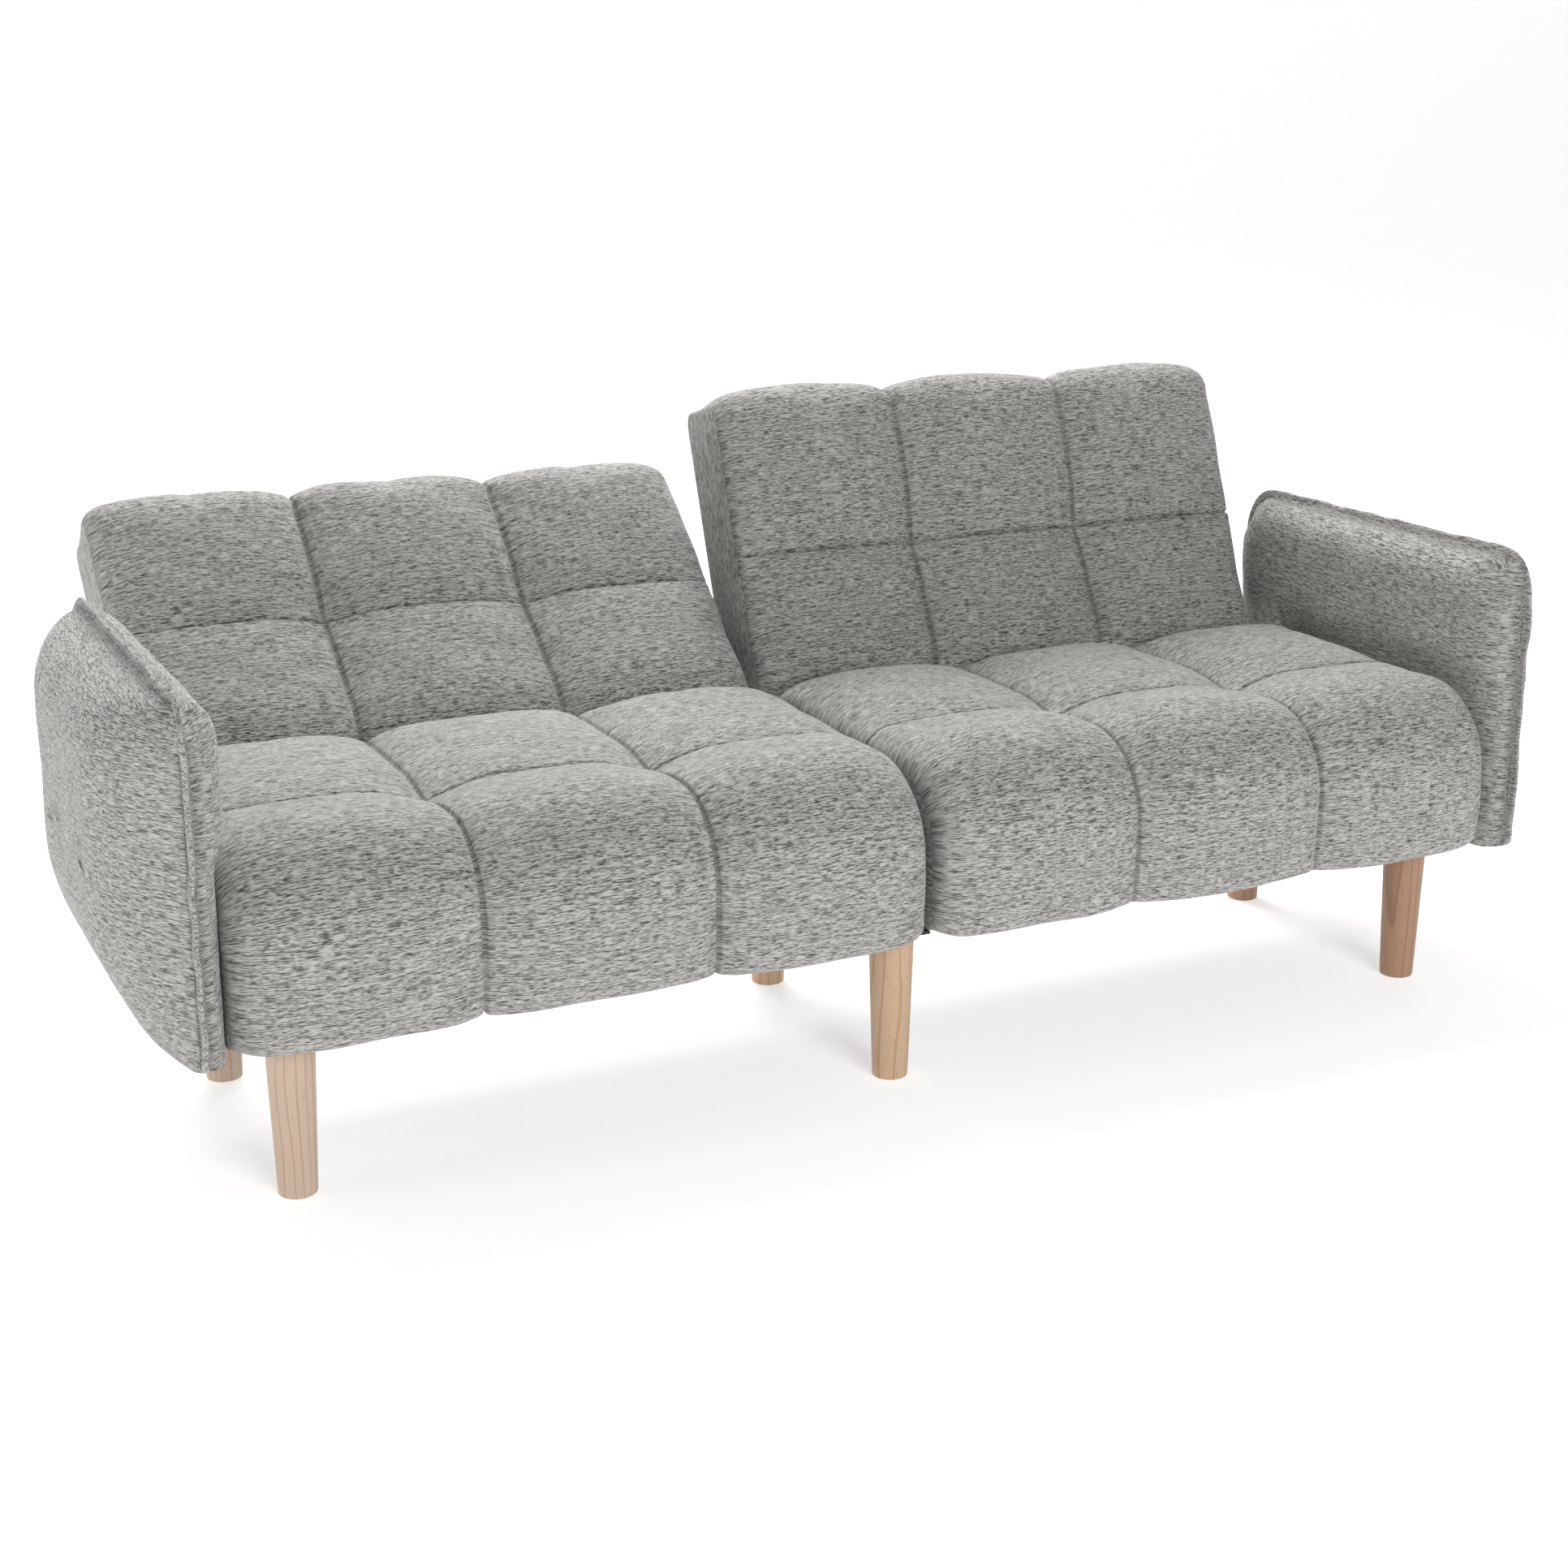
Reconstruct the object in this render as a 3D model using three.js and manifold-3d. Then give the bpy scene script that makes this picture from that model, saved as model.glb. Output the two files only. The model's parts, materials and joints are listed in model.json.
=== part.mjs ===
// Split-back futon sofa bed: two seat modules, two folding backs on ratchet hinges,
// two pillow arms and six legs.
// Millimetres, +X to the viewer's right, +Y to the rear, +Z up. The floor is z = 0.
import * as THREE from 'three';
import { mergeVertices } from 'three/addons/utils/BufferGeometryUtils.js';
import Module from 'manifold-3d';

const wasm = await Module();
wasm.setup();

// ---- Driving dimensions -------------------------------------------------------------------------
const GAP = 0.3; // clearance between touching pieces

// Seat modules, one on each side of the centre line
const SEAT_INNER = 6;
const SEAT_OUTER = 850;
const SEAT_FRONT = -20;
const SEAT_REAR = 466;
const SEAT_BOTTOM = 196;
const SEAT_TOP = 422;
const SEAT_WALL = { end: 12, front: 28, rear: 14 }; // foam around the frame pocket
const SEAT_POCKET_TOP = 290;

// Folding backs, drawn upright around the hinge pin: y to the rear, z up along the back
const PIVOT_Y = 508;
const PIVOT_Z = 408;
const RIGHT_TILT = 20; // degrees from upright, seating position
const LEFT_TILT = 47; // degrees from upright, lounging position
const BACK_INNER = 6;
const BACK_OUTER = 838;
const BACK_LOW = -32;
const BACK_HIGH = 398;
const BACK_FRONT = -16;
const BACK_REAR = 116;
const BACK_POCKET = { low: 24, high: 384, front: 60, end: 12 };
const REAR_PANEL = { low: 25, high: 376, inset: 6, thick: 2 };

// Ratchet hinges: one flat plate on the seat frame and one on the back frame, side by side
const HINGE_OUTER = 770.5;
const HINGE_INNER = 74;
const PLATE = 5;
const BOSS_R = 11;
const PIN_R = 4.97;
const PIN_HOLE_R = 5.3;
const PIN_HEAD = { r: 9, thick: 3 };
const SLOT = { half: 10.5, front: -12, high: 25 }; // room for a hinge in the back's lower edge
const NOTCH_TOP = 256; // top of the seat plate's way out through the rear wall
const SEAT_PLATE = { front: 372, rear: 496, low: 204, high: 240 };
const SEAT_PLATE_NECK = { front: 460, rear: 474, high: 250 };
const BACK_PLATE = { front: 78, rear: 104, high: 112 };

// Timber rails
const SEAT_RAIL = { low: 199, high: 244, depth: 50 };
const FRONT_RAIL_DEPTH = 60;
const BACK_RAIL = { front: 72, rear: 112, height: 40 };
const PLATE_ROOM = 6; // length left free at each rail end for a hinge plate

// Zigzag seat springs
const SPRING_WIRE_R = 2;
const SPRING_HALF_WIDTH = 22;
const SPRING_BENDS = 12;

// Legs and the flat steel under the frame
const LEG_X = { left: -774, centre: -24, right: 774 };
const LEG_Y = { front: 55, rear: 410 };
const LEG_FOOT_R = 22.5;
const LEG_TOP_R = 28.5;
const LEG_PLATE = { size: 70, thick: 4 };
const JOINING_PLATE = { length: 130, depth: 40, thick: 4, front: 130, rear: 345 };

// Arms
const ARM = { inner: 851.5, outer: 970, seam: 883, foot: 924, bottom: 188, top: 598, front: -36, rear: 588 };
const ARM_FLANGE = { half: 5, width: 12 }; // the sewn edge along the top
const ARM_CORNER = { inner: 60, outer: 90, side: 170, foot: 80 }; // how far below the top each curve ends
const ARM_BOARD = { inner: 884, outer: 906, front: 60, rear: 480, low: 202, high: 520 };
const BOLT = { y: 240, z: 222, r: 4, holeR: 4.6, headR: 8, head: 6 };

const SIDES = [['left', -1], ['right', 1]];
const ROUND = 24; // facets round a pin or leg
const BOLT_ROUND = 16;

// ---- Materials ----------------------------------------------------------------------------------
const material = (color, roughness, metalness = 0) =>
  new THREE.MeshStandardMaterial({ color, roughness, metalness });
const FABRIC = material(0x969591, 0.95);
const LINING = material(0x1b1b1c, 0.9);
const TIMBER = material(0xb08d62, 0.75);
const LEG_WOOD = material(0xc4a27e, 0.55);
const STEEL = material(0x1d1e20, 0.45, 0.6);
const ZINC = material(0x9a9c9e, 0.4, 0.9);

// ---- Geometry helpers ---------------------------------------------------------------------------
function block([x0, x1], [y0, y1], [z0, z1]) {
  const geometry = new THREE.BoxGeometry(Math.abs(x1 - x0), y1 - y0, z1 - z0);
  return geometry.translate((x0 + x1) / 2, (y0 + y1) / 2, (z0 + z1) / 2);
}

// A y,z outline swept along X between two stations.
function sweepX(outline, x0, x1, curveSegments = 8) {
  const depth = Math.abs(x1 - x0);
  const geometry = new THREE.ExtrudeGeometry(outline, { depth, bevelEnabled: false, curveSegments });
  const turn = new THREE.Matrix4().makeBasis(
    new THREE.Vector3(0, 1, 0), new THREE.Vector3(0, 0, 1), new THREE.Vector3(1, 0, 0));
  return geometry.applyMatrix4(turn).translate(Math.min(x0, x1), 0, 0);
}

// An x,z outline swept along Y between two stations.
function sweepY(outline, y0, y1, curveSegments = 8) {
  const geometry = new THREE.ExtrudeGeometry(outline, { depth: y1 - y0, bevelEnabled: false, curveSegments });
  return geometry.rotateX(Math.PI / 2).translate(0, y1, 0);
}

// A rectangle whose corners have their own radii, given from the first corner round.
function roundedRectangle([u0, u1], [v0, v1], [lowFirst, lowLast, highLast, highFirst]) {
  const shape = new THREE.Shape();
  shape.absarc(u0 + lowFirst, v0 + lowFirst, lowFirst, Math.PI, 1.5 * Math.PI);
  shape.absarc(u1 - lowLast, v0 + lowLast, lowLast, 1.5 * Math.PI, 2 * Math.PI);
  shape.absarc(u1 - highLast, v1 - highLast, highLast, 0, 0.5 * Math.PI);
  shape.absarc(u0 + highFirst, v1 - highFirst, highFirst, 0.5 * Math.PI, Math.PI);
  return shape;
}

function cylinderX(radius, x0, x1, y, z) {
  const geometry = new THREE.CylinderGeometry(radius, radius, Math.abs(x1 - x0), ROUND);
  return geometry.rotateZ(Math.PI / 2).translate((x0 + x1) / 2, y, z);
}

function solid(geometry) {
  const bare = geometry.clone();
  bare.deleteAttribute('normal');
  bare.deleteAttribute('uv');
  const merged = mergeVertices(bare, 1e-4);
  return new wasm.Manifold(new wasm.Mesh({
    numProp: 3,
    vertProperties: new Float32Array(merged.attributes.position.array),
    triVerts: new Uint32Array(merged.index.array),
  }));
}

function cut(geometry, ...tools) {
  let body = solid(geometry);
  for (const tool of tools) body = body.subtract(solid(tool));
  const mesh = body.getMesh();
  const result = new THREE.BufferGeometry();
  result.setAttribute('position', new THREE.BufferAttribute(new Float32Array(mesh.vertProperties), 3));
  result.setIndex(new THREE.BufferAttribute(new Uint32Array(mesh.triVerts), 1));
  result.computeVertexNormals();
  return result;
}

function piece(parent, name, geometry, look) {
  const mesh = new THREE.Mesh(geometry, look.clone());
  mesh.name = name;
  parent.add(mesh);
}

// Two X stations of one side of the sofa, lowest first.
const span = (sign, a, b) => (sign > 0 ? [a, b] : [-b, -a]);

// The X stations of a rail that ends just inside the two hinges' plates.
const betweenHinges = (sign) => span(sign, HINGE_INNER + PLATE_ROOM, HINGE_OUTER - PLATE_ROOM);

// The way through for an arm's bolt, between two X stations of one side.
const boltHole = (sign, x0, x1) => cylinderX(BOLT.holeR, sign * x0, sign * x1, BOLT.y, BOLT.z);

// ---- Seat modules -------------------------------------------------------------------------------
function seatCushion(sign) {
  const outline = roundedRectangle([SEAT_FRONT, SEAT_REAR], [SEAT_BOTTOM, SEAT_TOP], [30, 12, 45, 75]);
  const [x0, x1] = span(sign, SEAT_INNER, SEAT_OUTER);
  const pocket = block(
    span(sign, SEAT_INNER + SEAT_WALL.end, SEAT_OUTER - SEAT_WALL.end),
    [SEAT_FRONT + SEAT_WALL.front, SEAT_REAR - SEAT_WALL.rear],
    [SEAT_BOTTOM - 1, SEAT_POCKET_TOP]);
  const notches = [HINGE_INNER + PLATE / 2, HINGE_OUTER - PLATE / 2].map((x) => block(
    span(sign, x - PLATE, x + PLATE),
    [SEAT_REAR - SEAT_WALL.rear - 1, SEAT_REAR + 1],
    [SEAT_BOTTOM - 1, NOTCH_TOP]));
  const hole = boltHole(sign, SEAT_OUTER - SEAT_WALL.end - 1, SEAT_OUTER + 1);
  return cut(sweepX(outline, x0, x1), pocket, ...notches, hole);
}

function seatRails(sofa, side, sign) {
  const heights = [SEAT_RAIL.low, SEAT_RAIL.high];
  const front = SEAT_FRONT + SEAT_WALL.front + GAP;
  const rear = SEAT_REAR - SEAT_WALL.rear - GAP;
  const innerFace = HINGE_INNER - GAP / 2;
  const outerFace = HINGE_OUTER + GAP / 2;
  const inner = block(span(sign, SEAT_INNER + SEAT_WALL.end + GAP, innerFace), [front, rear], heights);
  const outer = block(span(sign, outerFace, SEAT_OUTER - SEAT_WALL.end - GAP), [front, rear], heights);
  piece(sofa, `seat_inner_rail_${side}`, inner, TIMBER);
  piece(sofa, `seat_outer_rail_${side}`, cut(outer, boltHole(sign, outerFace - 1, SEAT_OUTER)), TIMBER);
  piece(sofa, `seat_front_rail_${side}`,
    block(span(sign, innerFace + GAP, outerFace - GAP), [front, front + FRONT_RAIL_DEPTH], heights), TIMBER);
  piece(sofa, `seat_rear_rail_${side}`,
    block(betweenHinges(sign), [rear - SEAT_RAIL.depth, rear], heights), TIMBER);
}

function zigzagSpring(x) {
  const first = SEAT_FRONT + SEAT_WALL.front + 12;
  const last = SEAT_REAR - SEAT_WALL.rear - 12;
  const z = SEAT_RAIL.high + GAP + SPRING_WIRE_R;
  const points = [];
  for (let bend = 0; bend <= SPRING_BENDS; bend += 1) {
    const swing = bend === 0 || bend === SPRING_BENDS ? 0 : SPRING_HALF_WIDTH * (bend % 2 ? 1 : -1);
    points.push(new THREE.Vector3(x + swing, first + (last - first) * bend / SPRING_BENDS, z));
  }
  const section = new THREE.Shape();
  section.absarc(0, 0, SPRING_WIRE_R, 0, 2 * Math.PI);
  const extrudePath = new THREE.CatmullRomCurve3(points, false, 'centripetal');
  return new THREE.ExtrudeGeometry(section, { steps: 5 * SPRING_BENDS, curveSegments: 3, extrudePath });
}

function seatModule(sofa, side, sign) {
  piece(sofa, `seat_cushion_${side}`, seatCushion(sign), FABRIC);
  seatRails(sofa, side, sign);
  [0.34, 0.66].forEach((share, index) => {
    const x = sign * THREE.MathUtils.lerp(SEAT_INNER, SEAT_OUTER, share);
    piece(sofa, `seat_spring_${side}_${index + 1}`, zigzagSpring(x), ZINC);
  });
  const cover = block(
    span(sign, SEAT_INNER + SEAT_WALL.end + 1, SEAT_OUTER - SEAT_WALL.end - 1),
    [SEAT_FRONT + SEAT_WALL.front + 1, SEAT_REAR - SEAT_WALL.rear - 1],
    [SEAT_BOTTOM + GAP, SEAT_RAIL.low - GAP]);
  piece(sofa, `seat_dust_cover_${side}`, cover, LINING);
}

// ---- Backs --------------------------------------------------------------------------------------
function backCushion(sign) {
  const outline = roundedRectangle([BACK_FRONT, BACK_REAR], [BACK_LOW, BACK_HIGH], [25, 14, 20, 45]);
  const [x0, x1] = span(sign, BACK_INNER, BACK_OUTER);
  const pocket = block(
    span(sign, BACK_INNER + BACK_POCKET.end, BACK_OUTER - BACK_POCKET.end),
    [BACK_POCKET.front, BACK_REAR + 1],
    [BACK_POCKET.low, BACK_POCKET.high]);
  const slots = [HINGE_INNER, HINGE_OUTER].map((x) => block(
    span(sign, x - SLOT.half, x + SLOT.half), [SLOT.front, BACK_REAR + 2], [BACK_LOW - 1, SLOT.high]));
  return cut(sweepX(outline, x0, x1), pocket, ...slots);
}

function backRails(back, side, sign) {
  const depths = [BACK_RAIL.front, BACK_RAIL.rear];
  const low = BACK_POCKET.low + GAP;
  const high = BACK_POCKET.high - GAP;
  const innerFace = HINGE_INNER - PLATE - 1.5 * GAP;
  const outerFace = HINGE_OUTER + PLATE + 1.5 * GAP;
  piece(back, `back_inner_rail_${side}`,
    block(span(sign, BACK_INNER + BACK_POCKET.end + GAP, innerFace), depths, [low, high]), TIMBER);
  piece(back, `back_outer_rail_${side}`,
    block(span(sign, outerFace, BACK_OUTER - BACK_POCKET.end - GAP), depths, [low, high]), TIMBER);
  piece(back, `back_top_rail_${side}`,
    block(span(sign, innerFace + GAP, outerFace - GAP), depths, [high - BACK_RAIL.height, high]), TIMBER);
  piece(back, `back_bottom_rail_${side}`,
    block(betweenHinges(sign), depths, [low, low + BACK_RAIL.height]), TIMBER);
}

function foldingBack(sofa, side, sign, tilt) {
  const back = new THREE.Group();
  back.position.set(0, PIVOT_Y, PIVOT_Z);
  back.rotation.x = THREE.MathUtils.degToRad(-tilt);
  sofa.add(back);
  piece(back, `back_cushion_${side}`, backCushion(sign), FABRIC);
  backRails(back, side, sign);
  const panel = block(
    span(sign, BACK_INNER + REAR_PANEL.inset, BACK_OUTER - REAR_PANEL.inset),
    [BACK_REAR + GAP, BACK_REAR + GAP + REAR_PANEL.thick],
    [REAR_PANEL.low, REAR_PANEL.high]);
  piece(back, `back_rear_panel_${side}`, panel, FABRIC);
  for (const [place, x, inward] of hingePlaces()) {
    const [x0, x1] = span(sign, ...plateStations(x, -inward));
    piece(back, `hinge_back_plate_${side}_${place}`, sweepX(backPlateOutline(), x0, x1, 12), STEEL);
  }
}

// ---- Hinges -------------------------------------------------------------------------------------
// Each hinge: its name, its plane, and on which side of that plane the seat plate lies,
// +1 being away from the middle.
function hingePlaces() {
  return [['inner', HINGE_INNER, 1], ['outer', HINGE_OUTER, -1]];
}

function plateStations(x, direction) {
  const near = x + direction * GAP / 2;
  const far = near + direction * PLATE;
  return [Math.min(near, far), Math.max(near, far)];
}

function pinHole(y, z) {
  const hole = new THREE.Path();
  hole.absarc(y, z, PIN_HOLE_R, 0, 2 * Math.PI);
  return hole;
}

// Bolted flat to the seat's side rail, out through the rear wall, then up to the pin.
function seatPlateOutline() {
  const shape = new THREE.Shape();
  const { front, rear, low, high } = SEAT_PLATE;
  shape.moveTo(front, low);
  shape.lineTo(rear, low);
  shape.lineTo(PIVOT_Y + BOSS_R, PIVOT_Z - BOSS_R / 2);
  shape.absarc(PIVOT_Y, PIVOT_Z, BOSS_R, 0, Math.PI);
  shape.lineTo(SEAT_PLATE_NECK.rear, SEAT_PLATE_NECK.high);
  shape.lineTo(SEAT_PLATE_NECK.front, high);
  shape.lineTo(front, high);
  shape.holes.push(pinHole(PIVOT_Y, PIVOT_Z));
  return shape;
}

// From the pin rearwards in the slot, then up the back's side rail.
function backPlateOutline() {
  const shape = new THREE.Shape();
  shape.absarc(0, 0, BOSS_R, 0.5 * Math.PI, 1.5 * Math.PI);
  shape.lineTo(BACK_PLATE.rear, -BOSS_R);
  shape.lineTo(BACK_PLATE.rear, BACK_PLATE.high);
  shape.lineTo(BACK_PLATE.front, BACK_PLATE.high);
  shape.lineTo(BACK_PLATE.front, BOSS_R);
  shape.holes.push(pinHole(0, 0));
  return shape;
}

function hingePin(x) {
  const shank = PLATE + 1.5 * GAP;
  const end = shank + PIN_HEAD.thick;
  const profile = [[0, -end], [PIN_HEAD.r, -end], [PIN_HEAD.r, -shank], [PIN_R, -shank],
    [PIN_R, shank], [PIN_HEAD.r, shank], [PIN_HEAD.r, end], [0, end]];
  const geometry = new THREE.LatheGeometry(profile.map(([r, h]) => new THREE.Vector2(r, h)), ROUND);
  return geometry.rotateZ(Math.PI / 2).translate(x, PIVOT_Y, PIVOT_Z);
}

function hinges(sofa, side, sign) {
  for (const [place, x, inward] of hingePlaces()) {
    const [x0, x1] = span(sign, ...plateStations(x, inward));
    piece(sofa, `hinge_seat_plate_${side}_${place}`, sweepX(seatPlateOutline(), x0, x1, 12), STEEL);
    piece(sofa, `hinge_pin_${side}_${place}`, hingePin(sign * x), ZINC);
  }
}

// ---- Arms ---------------------------------------------------------------------------------------
// Front view of an arm: flat inside, a sewn edge along the top, and a full outer side that
// narrows to the foot.
function armOutline(sign) {
  const x = (value) => sign * value;
  const shape = new THREE.Shape();
  const { half, width } = ARM_FLANGE;
  const shoulder = ARM.top - width;
  shape.moveTo(x(ARM.inner), ARM.bottom);
  shape.lineTo(x(ARM.inner), ARM.top - ARM_CORNER.inner);
  shape.quadraticCurveTo(x(ARM.inner), shoulder, x(ARM.seam - half), shoulder);
  shape.lineTo(x(ARM.seam - half), ARM.top);
  shape.lineTo(x(ARM.seam + half), ARM.top);
  shape.lineTo(x(ARM.seam + half), shoulder);
  shape.bezierCurveTo(
    x(ARM.outer - width), shoulder,
    x(ARM.outer), ARM.top - ARM_CORNER.outer,
    x(ARM.outer), ARM.top - ARM_CORNER.side);
  shape.quadraticCurveTo(x(ARM.outer), ARM.bottom + ARM_CORNER.foot, x(ARM.foot), ARM.bottom);
  return shape;
}

function arm(sofa, side, sign) {
  const board = block(
    span(sign, ARM_BOARD.inner, ARM_BOARD.outer),
    [ARM_BOARD.front, ARM_BOARD.rear],
    [ARM_BOARD.low, ARM_BOARD.high]);
  const pocket = block(
    span(sign, ARM_BOARD.inner - GAP, ARM_BOARD.outer + GAP),
    [ARM_BOARD.front - GAP, ARM_BOARD.rear + GAP],
    [ARM.bottom - 1, ARM_BOARD.high + GAP]);
  const padding = sweepY(armOutline(sign), ARM.front, ARM.rear, 6);
  const hole = boltHole(sign, ARM.inner - 1, ARM_BOARD.outer - 2);
  piece(sofa, `arm_cushion_${side}`, cut(padding, pocket, hole), FABRIC);
  piece(sofa, `arm_board_${side}`, cut(board, hole), TIMBER);
  piece(sofa, `arm_bolt_${side}`, armBolt(sign), ZINC);
}

// Head inside the seat frame, shank through the rail and both paddings into the arm's board.
function armBolt(sign) {
  const start = HINGE_OUTER - GAP / 2;
  const length = ARM_BOARD.outer - BOLT.r - start;
  const { r, headR, head } = BOLT;
  const profile = [[0, -head], [headR, -head], [headR, 0], [r, 0], [r, length], [0, length]];
  const points = profile.map(([across, along]) => new THREE.Vector2(across, along));
  const geometry = new THREE.LatheGeometry(points, BOLT_ROUND);
  return geometry.rotateZ(-sign * Math.PI / 2).translate(sign * start, BOLT.y, BOLT.z);
}

// ---- Legs and underside steel -------------------------------------------------------------------
function legs(sofa) {
  const plateTop = SEAT_BOTTOM - GAP;
  const legTop = plateTop - LEG_PLATE.thick - GAP;
  const profile = [[0, 0], [LEG_FOOT_R - 2, 0], [LEG_FOOT_R, 2], [LEG_TOP_R, legTop], [0, legTop]];
  const points = profile.map(([r, h]) => new THREE.Vector2(r, h));
  const half = LEG_PLATE.size / 2;
  for (const [row, y] of Object.entries(LEG_Y)) {
    for (const [place, x] of Object.entries(LEG_X)) {
      const leg = new THREE.LatheGeometry(points, ROUND);
      piece(sofa, `leg_${row}_${place}`, leg.rotateX(Math.PI / 2).translate(x, y, 0), LEG_WOOD);
      const plate = block([x - half, x + half], [y - half, y + half], [plateTop - LEG_PLATE.thick, plateTop]);
      piece(sofa, `leg_plate_${row}_${place}`, plate, STEEL);
    }
  }
}

function joiningPlates(sofa) {
  const { length, depth, thick } = JOINING_PLATE;
  const top = SEAT_BOTTOM - GAP;
  for (const place of ['front', 'rear']) {
    const y = JOINING_PLATE[place];
    const plate = block([-length / 2, length / 2], [y - depth / 2, y + depth / 2], [top - thick, top]);
    piece(sofa, `joining_plate_${place}`, plate, STEEL);
  }
}

// ---- Assembly -----------------------------------------------------------------------------------
function futonSofaBed() {
  const sofa = new THREE.Group();
  for (const [side, sign] of SIDES) {
    seatModule(sofa, side, sign);
    foldingBack(sofa, side, sign, side === 'left' ? LEFT_TILT : RIGHT_TILT);
    hinges(sofa, side, sign);
    arm(sofa, side, sign);
  }
  legs(sofa);
  joiningPlates(sofa);
  // The origin is on the floor under the middle of the whole sofa.
  const box = new THREE.Box3().setFromObject(sofa, true);
  sofa.position.y = -(box.min.y + box.max.y) / 2;
  return sofa;
}

export default futonSofaBed();
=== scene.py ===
"""Looks of the split-back futon sofa bed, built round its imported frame. Metres, +X right, +Y rear, +Z up."""

import json
import math

import bmesh
import bpy
import numpy as np
from mathutils import Matrix, Vector


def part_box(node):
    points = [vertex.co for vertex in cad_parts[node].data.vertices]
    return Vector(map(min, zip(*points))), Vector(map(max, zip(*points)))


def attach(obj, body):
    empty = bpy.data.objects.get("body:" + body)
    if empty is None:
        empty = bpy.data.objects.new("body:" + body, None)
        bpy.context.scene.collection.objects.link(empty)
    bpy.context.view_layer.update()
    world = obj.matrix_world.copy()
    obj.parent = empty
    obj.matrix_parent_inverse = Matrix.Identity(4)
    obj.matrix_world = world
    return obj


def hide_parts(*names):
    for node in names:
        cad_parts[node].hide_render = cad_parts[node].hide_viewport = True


bl_info = {
    "name": "Futon Sofa Bed",
    "version": (1, 0, 0),
    "blender": (4, 5, 0),
    "location": "3D View > Sidebar > Sofa Bed",
    "description": "Upholsters the frame of a split-back futon sofa bed",
    "category": "Object",
}

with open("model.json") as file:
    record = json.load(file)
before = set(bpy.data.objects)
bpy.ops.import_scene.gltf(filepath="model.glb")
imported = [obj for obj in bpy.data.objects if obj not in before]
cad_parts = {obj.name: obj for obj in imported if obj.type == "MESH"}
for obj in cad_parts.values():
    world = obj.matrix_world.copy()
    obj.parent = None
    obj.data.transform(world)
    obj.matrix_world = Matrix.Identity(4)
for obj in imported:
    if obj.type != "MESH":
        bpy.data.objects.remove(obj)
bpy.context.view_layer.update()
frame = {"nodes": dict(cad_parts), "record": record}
JOINTS = {joint["name"]: joint for joint in frame["record"]["behaviour"]["joints"]}
PIVOT = Vector(JOINTS["right_back_recline"]["pos_m"])
SEAT_LOW, SEAT_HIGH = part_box("seat_cushion_right")
ARM_LOW, ARM_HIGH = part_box("arm_cushion_right")
SIDES = (("left", -1), ("right", 1))
REST_TILT = {"left": math.radians(47), "right": math.radians(20)}  # each back from upright, as stored
COLUMNS = 3  # tufted cells across one module
CORE = 0.94  # how far in from its outline a flat panel's rings go, before one last face closes it
ROW_LIFT = 0.48  # how far the cross seam rises between two column seams, as a share of the puff
TUFT_DEPTH, TUFT_REACH = 0.013, 0.045  # the dimple where two seams cross


# ---- Properties -----------------------------------------------------------------------------------
def length(name, default, description):
    return bpy.props.FloatProperty(name=name, description=description, default=default, unit="LENGTH")


def hex_colour(name, default, description):
    return bpy.props.StringProperty(name=name, description=description, default=default)


class SofaBedShape(bpy.types.PropertyGroup):
    """Sizes of the padding and the sewing."""

    seat_puff: length("Seat puff", 0.027, "Height of a seat cell over its seams")
    back_puff: length("Back puff", 0.030, "Height of a back cell over its seams")
    seam_depth: length("Seam depth", 0.003, "How far a sewn seam pulls into the padding")
    gather: length("Gathers", 0.0008, "Height of the small puckers beside a seam")
    flange: length("Flange", 0.0125, "Width of the sewn flange round each arm")
    stitch: length("Stitch", 0.0046, "Length of one stitch on the arm flange")


class SofaBedColours(bpy.types.PropertyGroup):
    """Colours of the finishes, as sRGB hex."""

    yarn_light: hex_colour("Light yarn", "B9B8B4", "Palest thread of the upholstery")
    yarn_mid: hex_colour("Mid yarn", "92908D", "Main thread of the upholstery")
    yarn_dark: hex_colour("Dark yarn", "504F4C", "Darkest slub of the upholstery")
    thread: hex_colour("Sewing thread", "6A6966", "Thread of the arm's stitching")
    leg_pale: hex_colour("Pale leg", "C3AD98", "Pale rubberwood")
    leg_tan: hex_colour("Tan leg", "C4A587", "Tan rubberwood")
    leg_brown: hex_colour("Brown leg", "A68268", "Brown rubberwood")
    pine: hex_colour("Frame timber", "C9A571", "Planed softwood of the frame")
    powder: hex_colour("Powder coat", "202124", "Black coating of the hinges and plates")
    zinc: hex_colour("Zinc plate", "B4B6B8", "Plating of springs, pins and bolts")
    cloth: hex_colour("Dust cover", "232325", "Black cloth under the seat")


def shape():
    return bpy.context.scene.sofa_bed_shape


def colours():
    return bpy.context.scene.sofa_bed_colours


def linear(hex_colour):
    """An sRGB hex colour as the linear RGBA that shader sockets take."""
    channels = [int(hex_colour[i:i + 2], 16) / 255 for i in (0, 2, 4)]
    return [c / 12.92 if c <= 0.04045 else ((c + 0.055) / 1.055) ** 2.4 for c in channels] + [1.0]


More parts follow.
